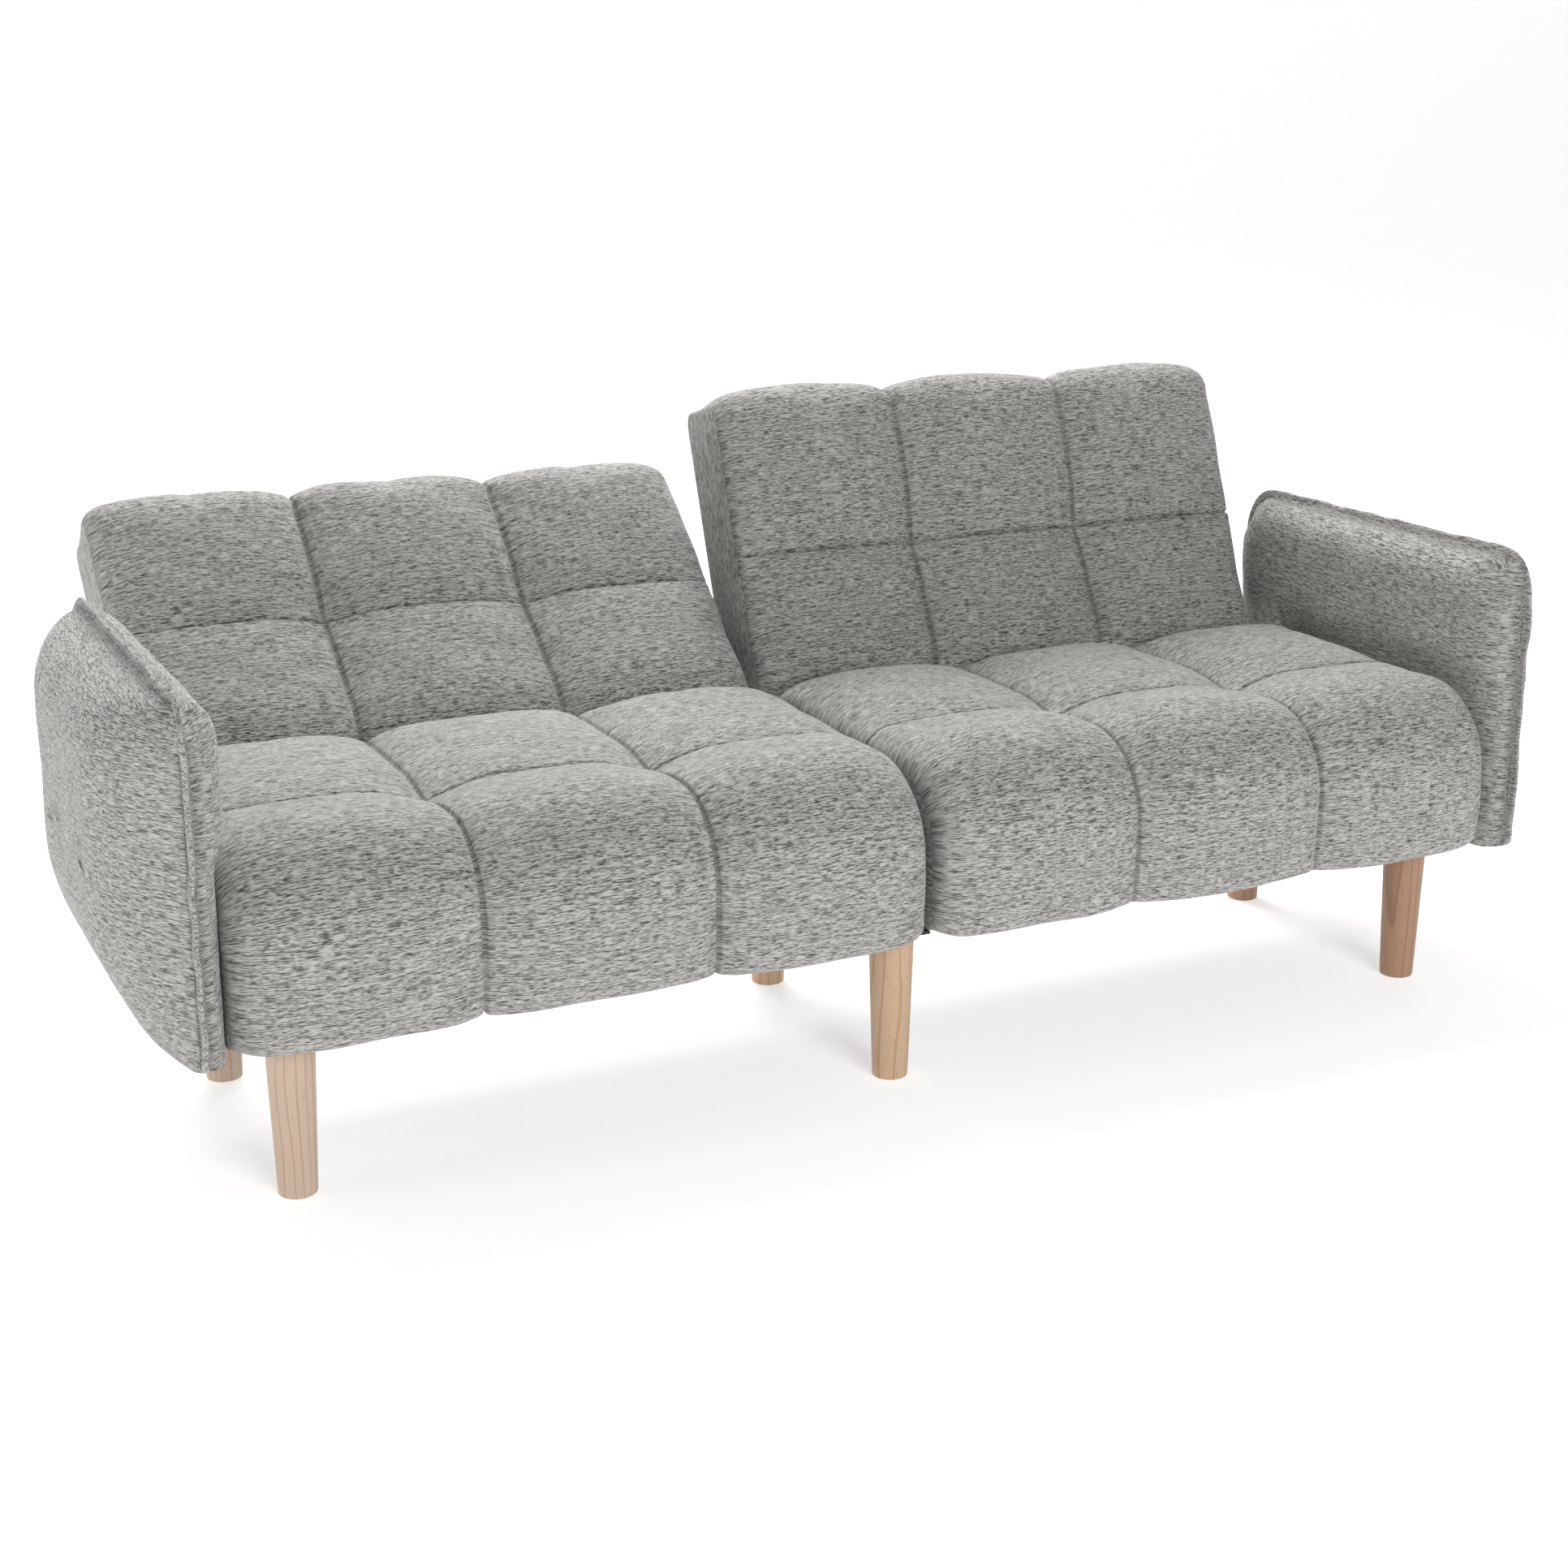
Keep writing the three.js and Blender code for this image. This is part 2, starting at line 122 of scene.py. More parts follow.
# ---- Outlines and stations ------------------------------------------------------------------------
class Loop:
    """A closed outline with rounded corners, read by distance along it. Runs counter-clockwise."""

    def __init__(self, corners, fine=0.0005):
        points = []
        count = len(corners)
        for i, (a, b, radius) in enumerate(corners):
            corner = np.array((a, b))
            before = np.array(corners[i - 1][:2]) - corner
            after = np.array(corners[(i + 1) % count][:2]) - corner
            before /= np.linalg.norm(before)
            after /= np.linalg.norm(after)
            half = math.acos(float(np.clip(before @ after, -1, 1))) / 2
            reach = radius / math.tan(half)
            centre = corner + (before + after) / np.linalg.norm(before + after) * radius / math.sin(half)
            start = corner + before * reach - centre
            end = corner + after * reach - centre
            sweep = math.atan2(start[0] * end[1] - start[1] * end[0], float(start @ end))
            steps = max(3, int(abs(sweep) * radius / fine))
            for k in range(steps + 1):
                turn = sweep * k / steps
                c, s = math.cos(turn), math.sin(turn)
                points.append(centre + (c * start[0] - s * start[1], s * start[0] + c * start[1]))
        points.append(points[0])
        self.points = np.array(points)
        self.along = np.concatenate(
            [[0], np.cumsum(np.linalg.norm(np.diff(self.points, axis=0), axis=1))])
        self.length = self.along[-1]

    def at(self, s):
        s = np.mod(s, self.length)
        return np.stack([np.interp(s, self.along, self.points[:, k]) for k in (0, 1)], -1)

    def normal(self, s, reach=0.004):
        """Outward unit normal, smoothed over a short reach so that corners turn gently."""
        tangent = self.at(np.asarray(s) + reach) - self.at(np.asarray(s) - reach)
        normal = np.stack([tangent[..., 1], -tangent[..., 0]], -1)
        return normal / np.linalg.norm(normal, axis=-1, keepdims=True)

    def find(self, a, b):
        """Distance along the loop of its point closest to (a, b)."""
        places = np.arange(0, self.length, 0.0005)
        return float(places[np.argmin(np.linalg.norm(self.at(places) - (a, b), axis=1))])


def graded(start, end, seams, step, close=(0.0018, 0.0045, 0.009)):
    """Stations from start to end, about a step apart and closer together beside each seam."""
    marks = {start, end, *seams}
    for seam in seams:
        for offset in close:
            marks.update(m for m in (seam - offset, seam + offset) if start < m < end)
    fixed = sorted(marks)
    stations = []
    for low, high in zip(fixed, fixed[1:]):
        pieces = max(1, round((high - low) / step))
        stations += [low + (high - low) * k / pieces for k in range(pieces)]
    return np.array(stations + [end])


def pillow(q, power=2.4, fullness=0.58):
    """Height of a stuffed cell from 0 at its sewn edge (q = -1 or 1) to 1 in its middle."""
    return np.clip(1 - np.abs(np.clip(q, -1, 1)) ** power, 0, 1) ** fullness


def dome(distance, reach, power=2.2):
    """Rise of a stuffed panel from 0 at its sewn edge to 1 at a distance inside it."""
    q = np.clip(distance / reach, 0, 1)
    return np.clip(1 - (1 - q) ** power, 0, 1) ** (1 / power)


def wedge(distance, reach):
    """Rise of a panel that leaves its sewn edge at a slant and levels off at a distance inside it."""
    return 1 - (1 - np.clip(distance / reach, 0, 1)) ** 2


class Ripple:
    """A repeatable wavering value along a line: a few sines with seeded phases."""

    def __init__(self, seed, shortest, longest, waves=7):
        random = np.random.default_rng(seed)
        self.lengths = np.geomspace(shortest, longest, waves)
        self.phases = random.uniform(0, 2 * math.pi, waves)
        self.weights = random.uniform(0.5, 1.0, waves)

    def __call__(self, s):
        total = sum(w * np.sin(2 * math.pi * s / length + phase)
                    for w, length, phase in zip(self.weights, self.lengths, self.phases))
        return total / math.sqrt(len(self.lengths) / 2)


# ---- Mesh building --------------------------------------------------------------------------------
def new_object(name, vertices, faces, cloth=None, param=None):
    """A mesh object. cloth is one vector per face corner, and param one per vertex, kept as attributes."""
    mesh = bpy.data.meshes.new(name)
    mesh.from_pydata([tuple(v) for v in vertices], [], faces)
    if cloth is not None:
        layer = mesh.attributes.new("weave", "FLOAT_VECTOR", "CORNER")
        layer.data.foreach_set("vector", np.asarray(cloth, np.float32).ravel())
    if param is not None:
        layer = mesh.attributes.new("param", "FLOAT_VECTOR", "POINT")
        layer.data.foreach_set("vector", np.asarray(param, np.float32).ravel())
    mesh.validate()
    for polygon in mesh.polygons:
        polygon.use_smooth = True
    made = bpy.data.objects.new(name, mesh)
    bpy.context.collection.objects.link(made)
    return made


def read_vectors(items, name):
    values = np.empty(len(items) * 3, np.float32)
    items.foreach_get(name, values)
    return values.reshape(-1, 3).astype(float)


def read_points(piece):
    return read_vectors(piece.data.vertices, "co")


def write_points(piece, points):
    piece.data.vertices.foreach_set("co", np.asarray(points, np.float32).ravel())
    piece.data.update()


def read_attribute(piece, name):
    return read_vectors(piece.data.attributes[name].data, "vector")


def normals_of(piece):
    return read_vectors(piece.data.vertices, "normal")


def write_seam_shade(piece, values):
    """Keeps how near each vertex is to a seam, for the material to darken as painted shade along the crease."""
    layer = piece.data.attributes.new("seam", "FLOAT", "POINT")
    layer.data.foreach_set("value", values.astype(np.float32))


def merge_and_orient(piece, distance=1e-5, dissolve=True):
    """Joins vertices that share a place, drops faces that have shrunk to nothing, and turns the rest outwards."""
    tidy = bmesh.new()
    tidy.from_mesh(piece.data)
    bmesh.ops.remove_doubles(tidy, verts=tidy.verts, dist=distance)
    if dissolve:
        bmesh.ops.dissolve_degenerate(tidy, edges=tidy.edges, dist=1e-6)
    bmesh.ops.recalc_face_normals(tidy, faces=tidy.faces)
    tidy.to_mesh(piece.data)
    tidy.free()


def bake_modifiers(piece):
    """Replaces the piece's mesh by what its modifiers make of it."""
    graph = bpy.context.evaluated_depsgraph_get()
    baked = bpy.data.meshes.new_from_object(piece.evaluated_get(graph), depsgraph=graph)
    old = piece.data
    piece.modifiers.clear()
    piece.data = baked
    bpy.data.meshes.remove(old)


def subdivide(piece):
    modifier = piece.modifiers.new("Fine mesh", "SUBSURF")
    modifier.levels = modifier.render_levels = 1
    bake_modifiers(piece)


def box_tool(low, high):
    """A plain box used only to cut, then thrown away."""
    corners = [(x, y, z) for x in (low[0], high[0]) for y in (low[1], high[1]) for z in (low[2], high[2])]
    faces = [(0, 1, 3, 2), (4, 6, 7, 5), (0, 4, 5, 1), (2, 3, 7, 6), (0, 2, 6, 4), (1, 5, 7, 3)]
    return new_object("cutting_box", corners, faces)


def cut_away(piece, tools):
    for tool in tools:
        modifier = piece.modifiers.new("Cut", "BOOLEAN")
        modifier.operation = "DIFFERENCE"
        modifier.solver = "MANIFOLD"
        modifier.object = tool
        bake_modifiers(piece)
        bpy.data.objects.remove(tool)


def swept_pad(name, loop, stations, steps, inset, rings=7):
    """A closed pad: the loop carried across the X stations, with a flat boxing panel at each end.

    inset(x, s) draws the loop in along its normal. Returns the object; its param attribute
    holds (x, s, ring), and its weave attribute the cloth's own coordinates.
    """
    count = len(steps) - 1  # the last step is the first again
    points = loop.at(steps[:-1])
    normals = loop.normal(steps[:-1])
    vertices, param = [], []
    for x in stations:
        shift = inset(np.full(count, x), steps[:-1])[:, None] * normals
        for (a, b), s in zip(points - shift, steps[:-1]):
            vertices.append((x, a, b))
            param.append((x, s, 0))
    faces, weave = [], []
    for i in range(len(stations) - 1):
        for j in range(count):
            k = (j + 1) % count
            faces.append((i * count + j, (i + 1) * count + j, (i + 1) * count + k, i * count + k))
            weave += [(stations[i + a], steps[j + b], 0) for a, b in ((0, 0), (1, 0), (1, 1), (0, 1))]
    low, high = loop.points.min(0), loop.points.max(0)
    margin = (high - low).min() / 2
    for end, x in ((0, stations[0]), (1, stations[-1])):
        edge = (len(stations) - 1) * end * count
        outline = np.array(vertices[edge:edge + count])[:, 1:]
        spine = np.clip(outline, low + margin, high - margin)
        previous = list(range(edge, edge + count))
        for ring in range(1, rings + 1):
            share = CORE * ring / rings
            current = []
            for j in range(count):
                a, b = outline[j] * (1 - share) + spine[j] * share
                current.append(len(vertices))
                vertices.append((x, a, b))
                param.append((x, steps[j], share))
            for j in range(count):
                k = (j + 1) % count
                quad = [previous[j], previous[k], current[k], current[j]]
                quad = quad if end else quad[::-1]
                faces.append(quad)
                long_way = 1 if high[1] - low[1] > high[0] - low[0] else 0
                weave += [(vertices[v][1 + long_way], vertices[v][2 - long_way], 1) for v in quad]
            previous = current
        faces.append(previous if end else previous[::-1])
        weave += [(vertices[v][1 + long_way], vertices[v][2 - long_way], 1) for v in faces[-1]]
    pad = new_object(name, vertices, faces, weave, param)
    merge_and_orient(pad)
    return pad


# ---- Tufted pads ----------------------------------------------------------------------------------
class Quilt:
    """Where a pad's cells lie: column seams across X, and row seams along the loop."""

    def __init__(self, left, right, rows, puff, seed, flat_start=0.0):
        self.columns = [left + (right - left) * k / COLUMNS for k in range(COLUMNS + 1)]
        self.rows = rows
        self.puff = puff
        self.seed = seed
        self.flat_start = flat_start
        random = np.random.default_rng(seed)
        self.plumpness = random.uniform(0.93, 1.06, (COLUMNS, len(rows) - 1))

    def height(self, x, s):
        """Puff over the valley surface at x and distance s along the loop."""
        total = np.zeros_like(x)
        for i, (x0, x1) in enumerate(zip(self.columns, self.columns[1:])):
            for j, (s0, s1) in enumerate(zip(self.rows, self.rows[1:])):
                inside = (x >= x0) & (x <= x1) & (s >= s0) & (s <= s1)
                across = pillow((2 * x - x0 - x1) / (x1 - x0))
                q = (2 * s - s0 - s1) / (s1 - s0)
                lift = ROW_LIFT * (1 + q if j == 0 else 1 - q) / 2  # an inner row's seam rises between columns
                along = lift + (1 - lift) * pillow(q, 2.6)
                total = np.where(inside, self.plumpness[i, j] * across * along, total)
        if self.flat_start:  # the cells lie flatter where they wrap over the pad's thin top
            total *= 0.40 + 0.60 * wedge(s - self.rows[0], self.flat_start)
        total *= self.puff
        for column in self.columns[1:-1]:
            for row in self.rows[1:-1]:
                total -= TUFT_DEPTH * np.exp(-((x - column) ** 2 + (s - row) ** 2) / TUFT_REACH ** 2)
        return total

    def seam_distance(self, x, s):
        """Distance to the nearest column seam and row seam, and whether the point is quilted."""
        quilted = (s >= self.rows[0] - 0.002) & (s <= self.rows[-1] + 0.002)
        column = np.min([np.abs(x - c) for c in self.columns[1:-1]], axis=0)
        row = np.min([np.abs(s - r) for r in self.rows[1:-1]], axis=0)
        edge = np.minimum(np.abs(x - self.columns[0]), np.abs(x - self.columns[-1]))
        return column, row, edge, quilted


def inflate(pad, quilt, pinned_width, cap, pressure):
    """Lets the stuffing push the cover out between its sewn lines, as cloth under pressure."""
    param = read_attribute(pad, "param")
    column, row, edge, quilted = quilt.seam_distance(param[:, 0], param[:, 1])
    free = quilted & (np.minimum(np.minimum(column, row), edge) > pinned_width) & (param[:, 2] == 0)
    border = np.minimum(np.abs(param[:, 1] - quilt.rows[0]), np.abs(param[:, 1] - quilt.rows[-1]))
    free &= border > pinned_width
    pins = pad.vertex_groups.new(name="sewn")
    pins.add([int(i) for i in np.flatnonzero(~free)], 1.0, "REPLACE")
    start = read_points(pad)
    cloth = pad.modifiers.new("Stuffing", "CLOTH")
    cloth.settings.use_pressure = True
    cloth.settings.uniform_pressure_force = pressure
    cloth.settings.effector_weights.gravity = 0
    cloth.settings.vertex_group_mass = "sewn"
    cloth.settings.tension_stiffness = 12
    cloth.settings.compression_stiffness = 6
    cloth.settings.shear_stiffness = 5
    cloth.settings.bending_stiffness = 0.25
    cloth.settings.quality = 5
    cloth.settings.mass = 0.3
    cloth.point_cache.frame_start = 1
    cloth.point_cache.frame_end = 20
    for number in range(1, 21):
        bpy.context.scene.frame_set(number)
    bake_modifiers(pad)
    bpy.context.scene.frame_set(1)
    moved = read_points(pad) - start
    length = np.linalg.norm(moved, axis=1, keepdims=True)
    write_points(pad, start + moved * np.minimum(1, cap / np.maximum(length, 1e-9)))
    pad.vertex_groups.clear()


def sew(pad, quilt):
    """Pulls the seams in as sharp valleys and puckers the cloth beside them, and keeps a mask of painted shade along
    the seams and the pad's end edges.
    """
    sizes = shape()
    param = read_attribute(pad, "param")
    x, s = param[:, 0], param[:, 1]
    column, row, edge, quilted = quilt.seam_distance(x, s)
    on_face = quilted & (param[:, 2] < 1e-6)
    normals = normals_of(pad)
    fade = np.clip((np.minimum(np.abs(s - quilt.rows[0]), np.abs(s - quilt.rows[-1]))) / 0.02, 0, 1)
    groove = np.exp(-(np.minimum(column, row) / 0.0020) ** 2) * fade
    depth = -sizes.seam_depth * groove
    runs = ((quilt.columns[1:-1], 31, x, s, fade), (quilt.rows[1:-1], 47, s, x, 1.0))
    for seams, seed_step, across, along, share in runs:
        for index, seam in enumerate(seams):
            for side in (-1, 1):
                ripple = Ripple(quilt.seed * seed_step + index * 2 + (side > 0), 0.013, 0.045)
                beside = (np.sign(across - seam) == side) * np.abs(across - seam)
                near = np.where(beside > 0, np.exp(-beside / 0.016) * (1 - np.exp(-(beside / 0.004) ** 2)), 0)
                depth += sizes.gather * near * ripple(along) * share
    swell = Ripple(quilt.seed + 5, 0.11, 0.32, 4)(x + 0.7 * s)
    swell += Ripple(quilt.seed + 6, 0.09, 0.3, 4)(s - 0.5 * x)
    depth += 0.0007 * swell * np.clip(np.minimum(column, row) / 0.03, 0, 1) * fade
    write_points(pad, read_points(pad) + normals * (depth * on_face)[:, None])
    # painted shade: darkest in the seam creases, and at 0.6 strength along the crease where the quilted face turns
    # onto the pad's ends
    seam = np.exp(-(np.minimum(column, row) / 0.0012) ** 2) * fade * on_face
    end_edge_shade = np.exp(-(edge / 0.0020) ** 2) * quilted * (param[:, 2] < 0.02)
    write_seam_shade(pad, np.maximum(seam, 0.6 * end_edge_shade))


def tufted_pad(name, loop, left, right, rows, puff, seed, end_draw, end_reach, corner, corner_draw, rise=0.03,
               flat_start=0.0):
    """A stuffed pad with sewn cells.

    end_draw is how far its edge rolls in at the two ends, and corner_draw how much further at the
    place on the loop where its corner is. The rolled edge starts over the length rise of the first row.
    """
    quilt = Quilt(left, right, rows, puff, seed, flat_start)
    stations = graded(left, right, quilt.columns[1:-1], 0.0095)
    lip = np.array([0.0025, 0.0065, 0.013])
    stations = np.unique(np.round(np.concatenate([stations, left + lip, right - lip]), 6))
    steps = graded(0, loop.length, rows, 0.0098)

    def roll(x, s):
        """Draws the cover in towards the module's ends, on its quilted faces only."""
        from_end = np.minimum(x - left, right - x)
        drop = end_draw * (1 - np.sqrt(1 - (1 - np.clip(from_end / end_reach, 0, 1)) ** 2))
        rounding = np.exp(-((s - corner) / 0.075) ** 2)
        drop = drop + corner_draw * rounding * (1 - np.clip(from_end / 0.110, 0, 1)) ** 2.4
        return drop * np.clip((s - rows[0]) / rise, 0, 1) * np.clip((rows[-1] - s) / 0.03, 0, 1)

    pad = swept_pad(name, loop, stations, steps, roll)
    param = read_attribute(pad, "param")
    normal = loop.normal(param[:, 1])
    height = quilt.height(param[:, 0], param[:, 1]) * (param[:, 2] == 0)
    points = read_points(pad)
    share = 0.88
    points[:, 1:] += normal * (height * share)[:, None]
    write_points(pad, points)
    inflate(pad, quilt, 0.0005, puff * 0.5, 3.6)
    subdivide(pad)
    sew(pad, quilt)
    points = read_points(pad)
    ends = read_attribute(pad, "param")[:, 2]
    bulge = 0.0025 * np.sin(np.clip(ends, 0, 1) * math.pi / 2)
    points[:, 0] += np.where(points[:, 0] > (left + right) / 2, 1, -1) * bulge * (np.abs(points[:, 0]) < 0.4)
    write_points(pad, points)
    return pad


def finish_piece(piece, body, slot, *nodes, look=None):
    """Gives a finished piece its material and its body, and hides the CAD nodes it stands for."""
    if look is not None:
        piece.data.materials.clear()
        piece.data.materials.append(look)
    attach(piece, body)
    if nodes:
        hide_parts(*nodes)
    return piece


# ---- Seat -----------------------------------------------------------------------------------------
class SOFABED_OT_seat_covers(bpy.types.Operator):
    """Two tufted seat pads, each open underneath where its timber frame sits"""

    bl_idname = "sofabed.seat_covers"
    bl_label = "Seat covers"

    def execute(self, context):
        front = SEAT_LOW.y + 0.008
        rear = SEAT_HIGH.y - 0.004
        bottom = SEAT_LOW.z + 0.001
        valley = SEAT_HIGH.z - 0.019
        loop = Loop([(rear, bottom, 0.010), (rear, valley, 0.052), (front, valley, 0.100), (front, bottom, 0.015)])
        row = loop.find(front + 0.200, valley)
        rows = [loop.find(rear, valley - 0.075), row, loop.find(front + 0.033, bottom)]
        for side, sign in SIDES:
            left, right = sorted((sign * SEAT_LOW.x, sign * SEAT_HIGH.x))
            pad = tufted_pad(f"seat_cover_{side}", loop, left, right, rows, shape().seat_puff,
                             11 if sign < 0 else 12, 0.021, 0.040, loop.find(front, valley), 0.004, 0.20)
            cut_away(pad, self.openings(sign))
            finish_piece(pad, "seat_base", "upholstery_fabric", f"seat_cushion_{side}",
                         look=material("linen_weave"))
        return {"FINISHED"}

    def openings(self, sign):
        """The pocket for the frame, and a notch in the rear wall for each hinge plate."""
        tools = [box_tool(*mirrored(sign, (SEAT_LOW.x + 0.012, SEAT_LOW.y + 0.028, SEAT_LOW.z - 0.02),
                                    (SEAT_HIGH.x - 0.012, SEAT_HIGH.y - 0.014, SEAT_LOW.z + 0.094)))]
        for place in ("inner", "outer"):
            low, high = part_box(f"hinge_seat_plate_right_{place}")
            tools.append(box_tool(*mirrored(sign, (low.x - 0.0025, SEAT_HIGH.y - 0.02, SEAT_LOW.z - 0.02),
                                            (high.x + 0.0025, SEAT_HIGH.y + 0.02, SEAT_LOW.z + 0.06))))
        return tools


def mirrored(sign, low, high):
    """A box's two corners, on the right (sign 1) or the left (-1) of the sofa."""
    if sign > 0:
        return low, high
    return (-high[0], low[1], low[2]), (-low[0], high[1], high[2])


# ---- Backs ----------------------------------------------------------------------------------------
def back_matrix(side):
    """From a back's own axes, upright round the hinge pin, to where it is stored."""
    return Matrix.Translation(PIVOT) @ Matrix.Rotation(-REST_TILT[side], 4, "X")


BACK_ENDS = (0.009, 0.832)
BACK_LOW = -0.030  # below the pin, at the seams
BACK_TOP = {"left": 0.382, "right": 0.391}  # above the pin; the lounging back's foam is pressed down more
BACK_FRONT, BACK_REAR = 0.004, 0.116  # behind the pin
BACK_ROW = 0.166


class SOFABED_OT_back_covers(bpy.types.Operator):
    """Two tufted back pads, slotted at the bottom for their hinges"""

    bl_idname = "sofabed.back_covers"
    bl_label = "Back covers"

    def execute(self, context):
        for side, sign in SIDES:
            top = BACK_TOP[side]
            loop = Loop([(BACK_REAR, BACK_LOW, 0.012), (BACK_REAR, top, 0.020),
                         (BACK_FRONT, top, 0.036), (BACK_FRONT, 0.075, 0.080),
                         (BACK_FRONT - 0.009, 0.015, 0.030), (BACK_FRONT - 0.006, BACK_LOW, 0.016)])
            rows = [loop.find(BACK_REAR - 0.008, top), loop.find(BACK_FRONT, BACK_ROW),
                    loop.find(BACK_FRONT + 0.03, BACK_LOW)]
            left, right = sorted((sign * BACK_ENDS[0], sign * BACK_ENDS[1]))
            pad = tufted_pad(f"back_cover_{side}", loop, left, right, rows, shape().back_puff,
                             21 if sign < 0 else 22, 0.009, 0.028, loop.find(BACK_FRONT, top), 0.002,
                             flat_start=0.20)
            cut_away(pad, self.openings(sign))
            pad.data.transform(back_matrix(side))
            finish_piece(pad, f"{side}_back", "upholstery_fabric", f"back_cushion_{side}",
                         look=material("linen_weave"))
        return {"FINISHED"}

    def openings(self, sign):
        tools = [box_tool(*mirrored(sign, (BACK_ENDS[0] + 0.012, 0.060, 0.024),
                                    (BACK_ENDS[1] - 0.012, BACK_REAR + 0.02, 0.384)))]
        for x in (0.074, 0.7705):
            tools.append(box_tool(*mirrored(sign, (x - 0.0105, -0.012, BACK_LOW - 0.03),
                                            (x + 0.0105, BACK_REAR + 0.02, 0.025))))
        return tools


# ---- Sheets ---------------------------------------------------------------------------------------
def cloth_panel(name, width, length, thickness, sag, seed, step=0.012):
    """A thin closed panel in its own XY plane, centred, sagging along -Z, with its edges turned in."""
    xs = np.linspace(-width / 2, width / 2, max(3, round(width / step)) + 1)
    ys = np.linspace(-length / 2, length / 2, max(3, round(length / step)) + 1)
    ripple_x, ripple_y = Ripple(seed, 0.05, 0.3), Ripple(seed + 1, 0.05, 0.3)
    vertices, faces, weave = [], [], []
    for level in (0, 1):
        for y in ys:
            for x in xs:
                u, v = 2 * x / width, 2 * y / length
                bow = (1 - u ** 4) * (1 - v ** 4)
                z = -sag * bow + 0.0004 * bow * (ripple_x(x) + ripple_y(y))
                vertices.append((x, y, z + level * thickness))
    nx, ny = len(xs), len(ys)
    for j in range(ny - 1):
        for i in range(nx - 1):
            a = j * nx + i
            top = [a, a + 1, a + nx + 1, a + nx]
            faces.append([v + nx * ny for v in top])
            faces.append(top[::-1])
    rim = list(range(nx)) + [j * nx + nx - 1 for j in range(1, ny)]
    rim += [(ny - 1) * nx + i for i in range(nx - 2, -1, -1)] + [j * nx for j in range(ny - 2, 0, -1)]
    for k, a in enumerate(rim):
        b = rim[(k + 1) % len(rim)]
        faces.append([a, b, b + nx * ny, a + nx * ny])
    for face in faces:
        weave += [(vertices[v][0], vertices[v][1], 2) for v in face]
    return new_object(name, vertices, faces, weave)


class SOFABED_OT_cloth_panels(bpy.types.Operator):
    """Dust covers under the seat and fabric panels on the rear of the backs"""

    bl_idname = "sofabed.cloth_panels"
    bl_label = "Cloth panels"

    def execute(self, context):
        for side, sign in SIDES:
            low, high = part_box(f"seat_dust_cover_{side}")
            width, length = high.x - low.x, high.y - low.y
            cover = cloth_panel(f"dust_cover_{side}", width, length, 0.0012, 0.0018, 31)
            cover.data.transform(Matrix.Translation(((low.x + high.x) / 2, (low.y + high.y) / 2, low.z + 0.0006)))
            finish_piece(cover, "seat_base", "backing_cloth", f"seat_dust_cover_{side}",
                         look=material("spunbond_cloth"))
            width, length = BACK_ENDS[1] - BACK_ENDS[0] - 0.012, 0.351
            panel = cloth_panel(f"rear_panel_{side}", width, length, 0.0016, 0.0008, 41)
            stand = Matrix.Rotation(math.radians(90), 4, "X")
            middle = Vector((sign * (BACK_ENDS[0] + BACK_ENDS[1]) / 2, BACK_REAR + 0.0022, 0.025 + length / 2))
            panel.data.transform(back_matrix(side) @ Matrix.Translation(middle) @ stand)
            finish_piece(panel, f"{side}_back", "upholstery_fabric", f"back_rear_panel_{side}",
                         look=material("linen_weave"))
        return {"FINISHED"}


# ---- Arms -----------------------------------------------------------------------------------------
ARM_SEAM = 0.883  # where the arm's two panels are sewn together
FLANGE_HALF = 0.0030  # half the flange's thickness
INNER_SWELL, OUTER_SWELL = 0.045, 0.075


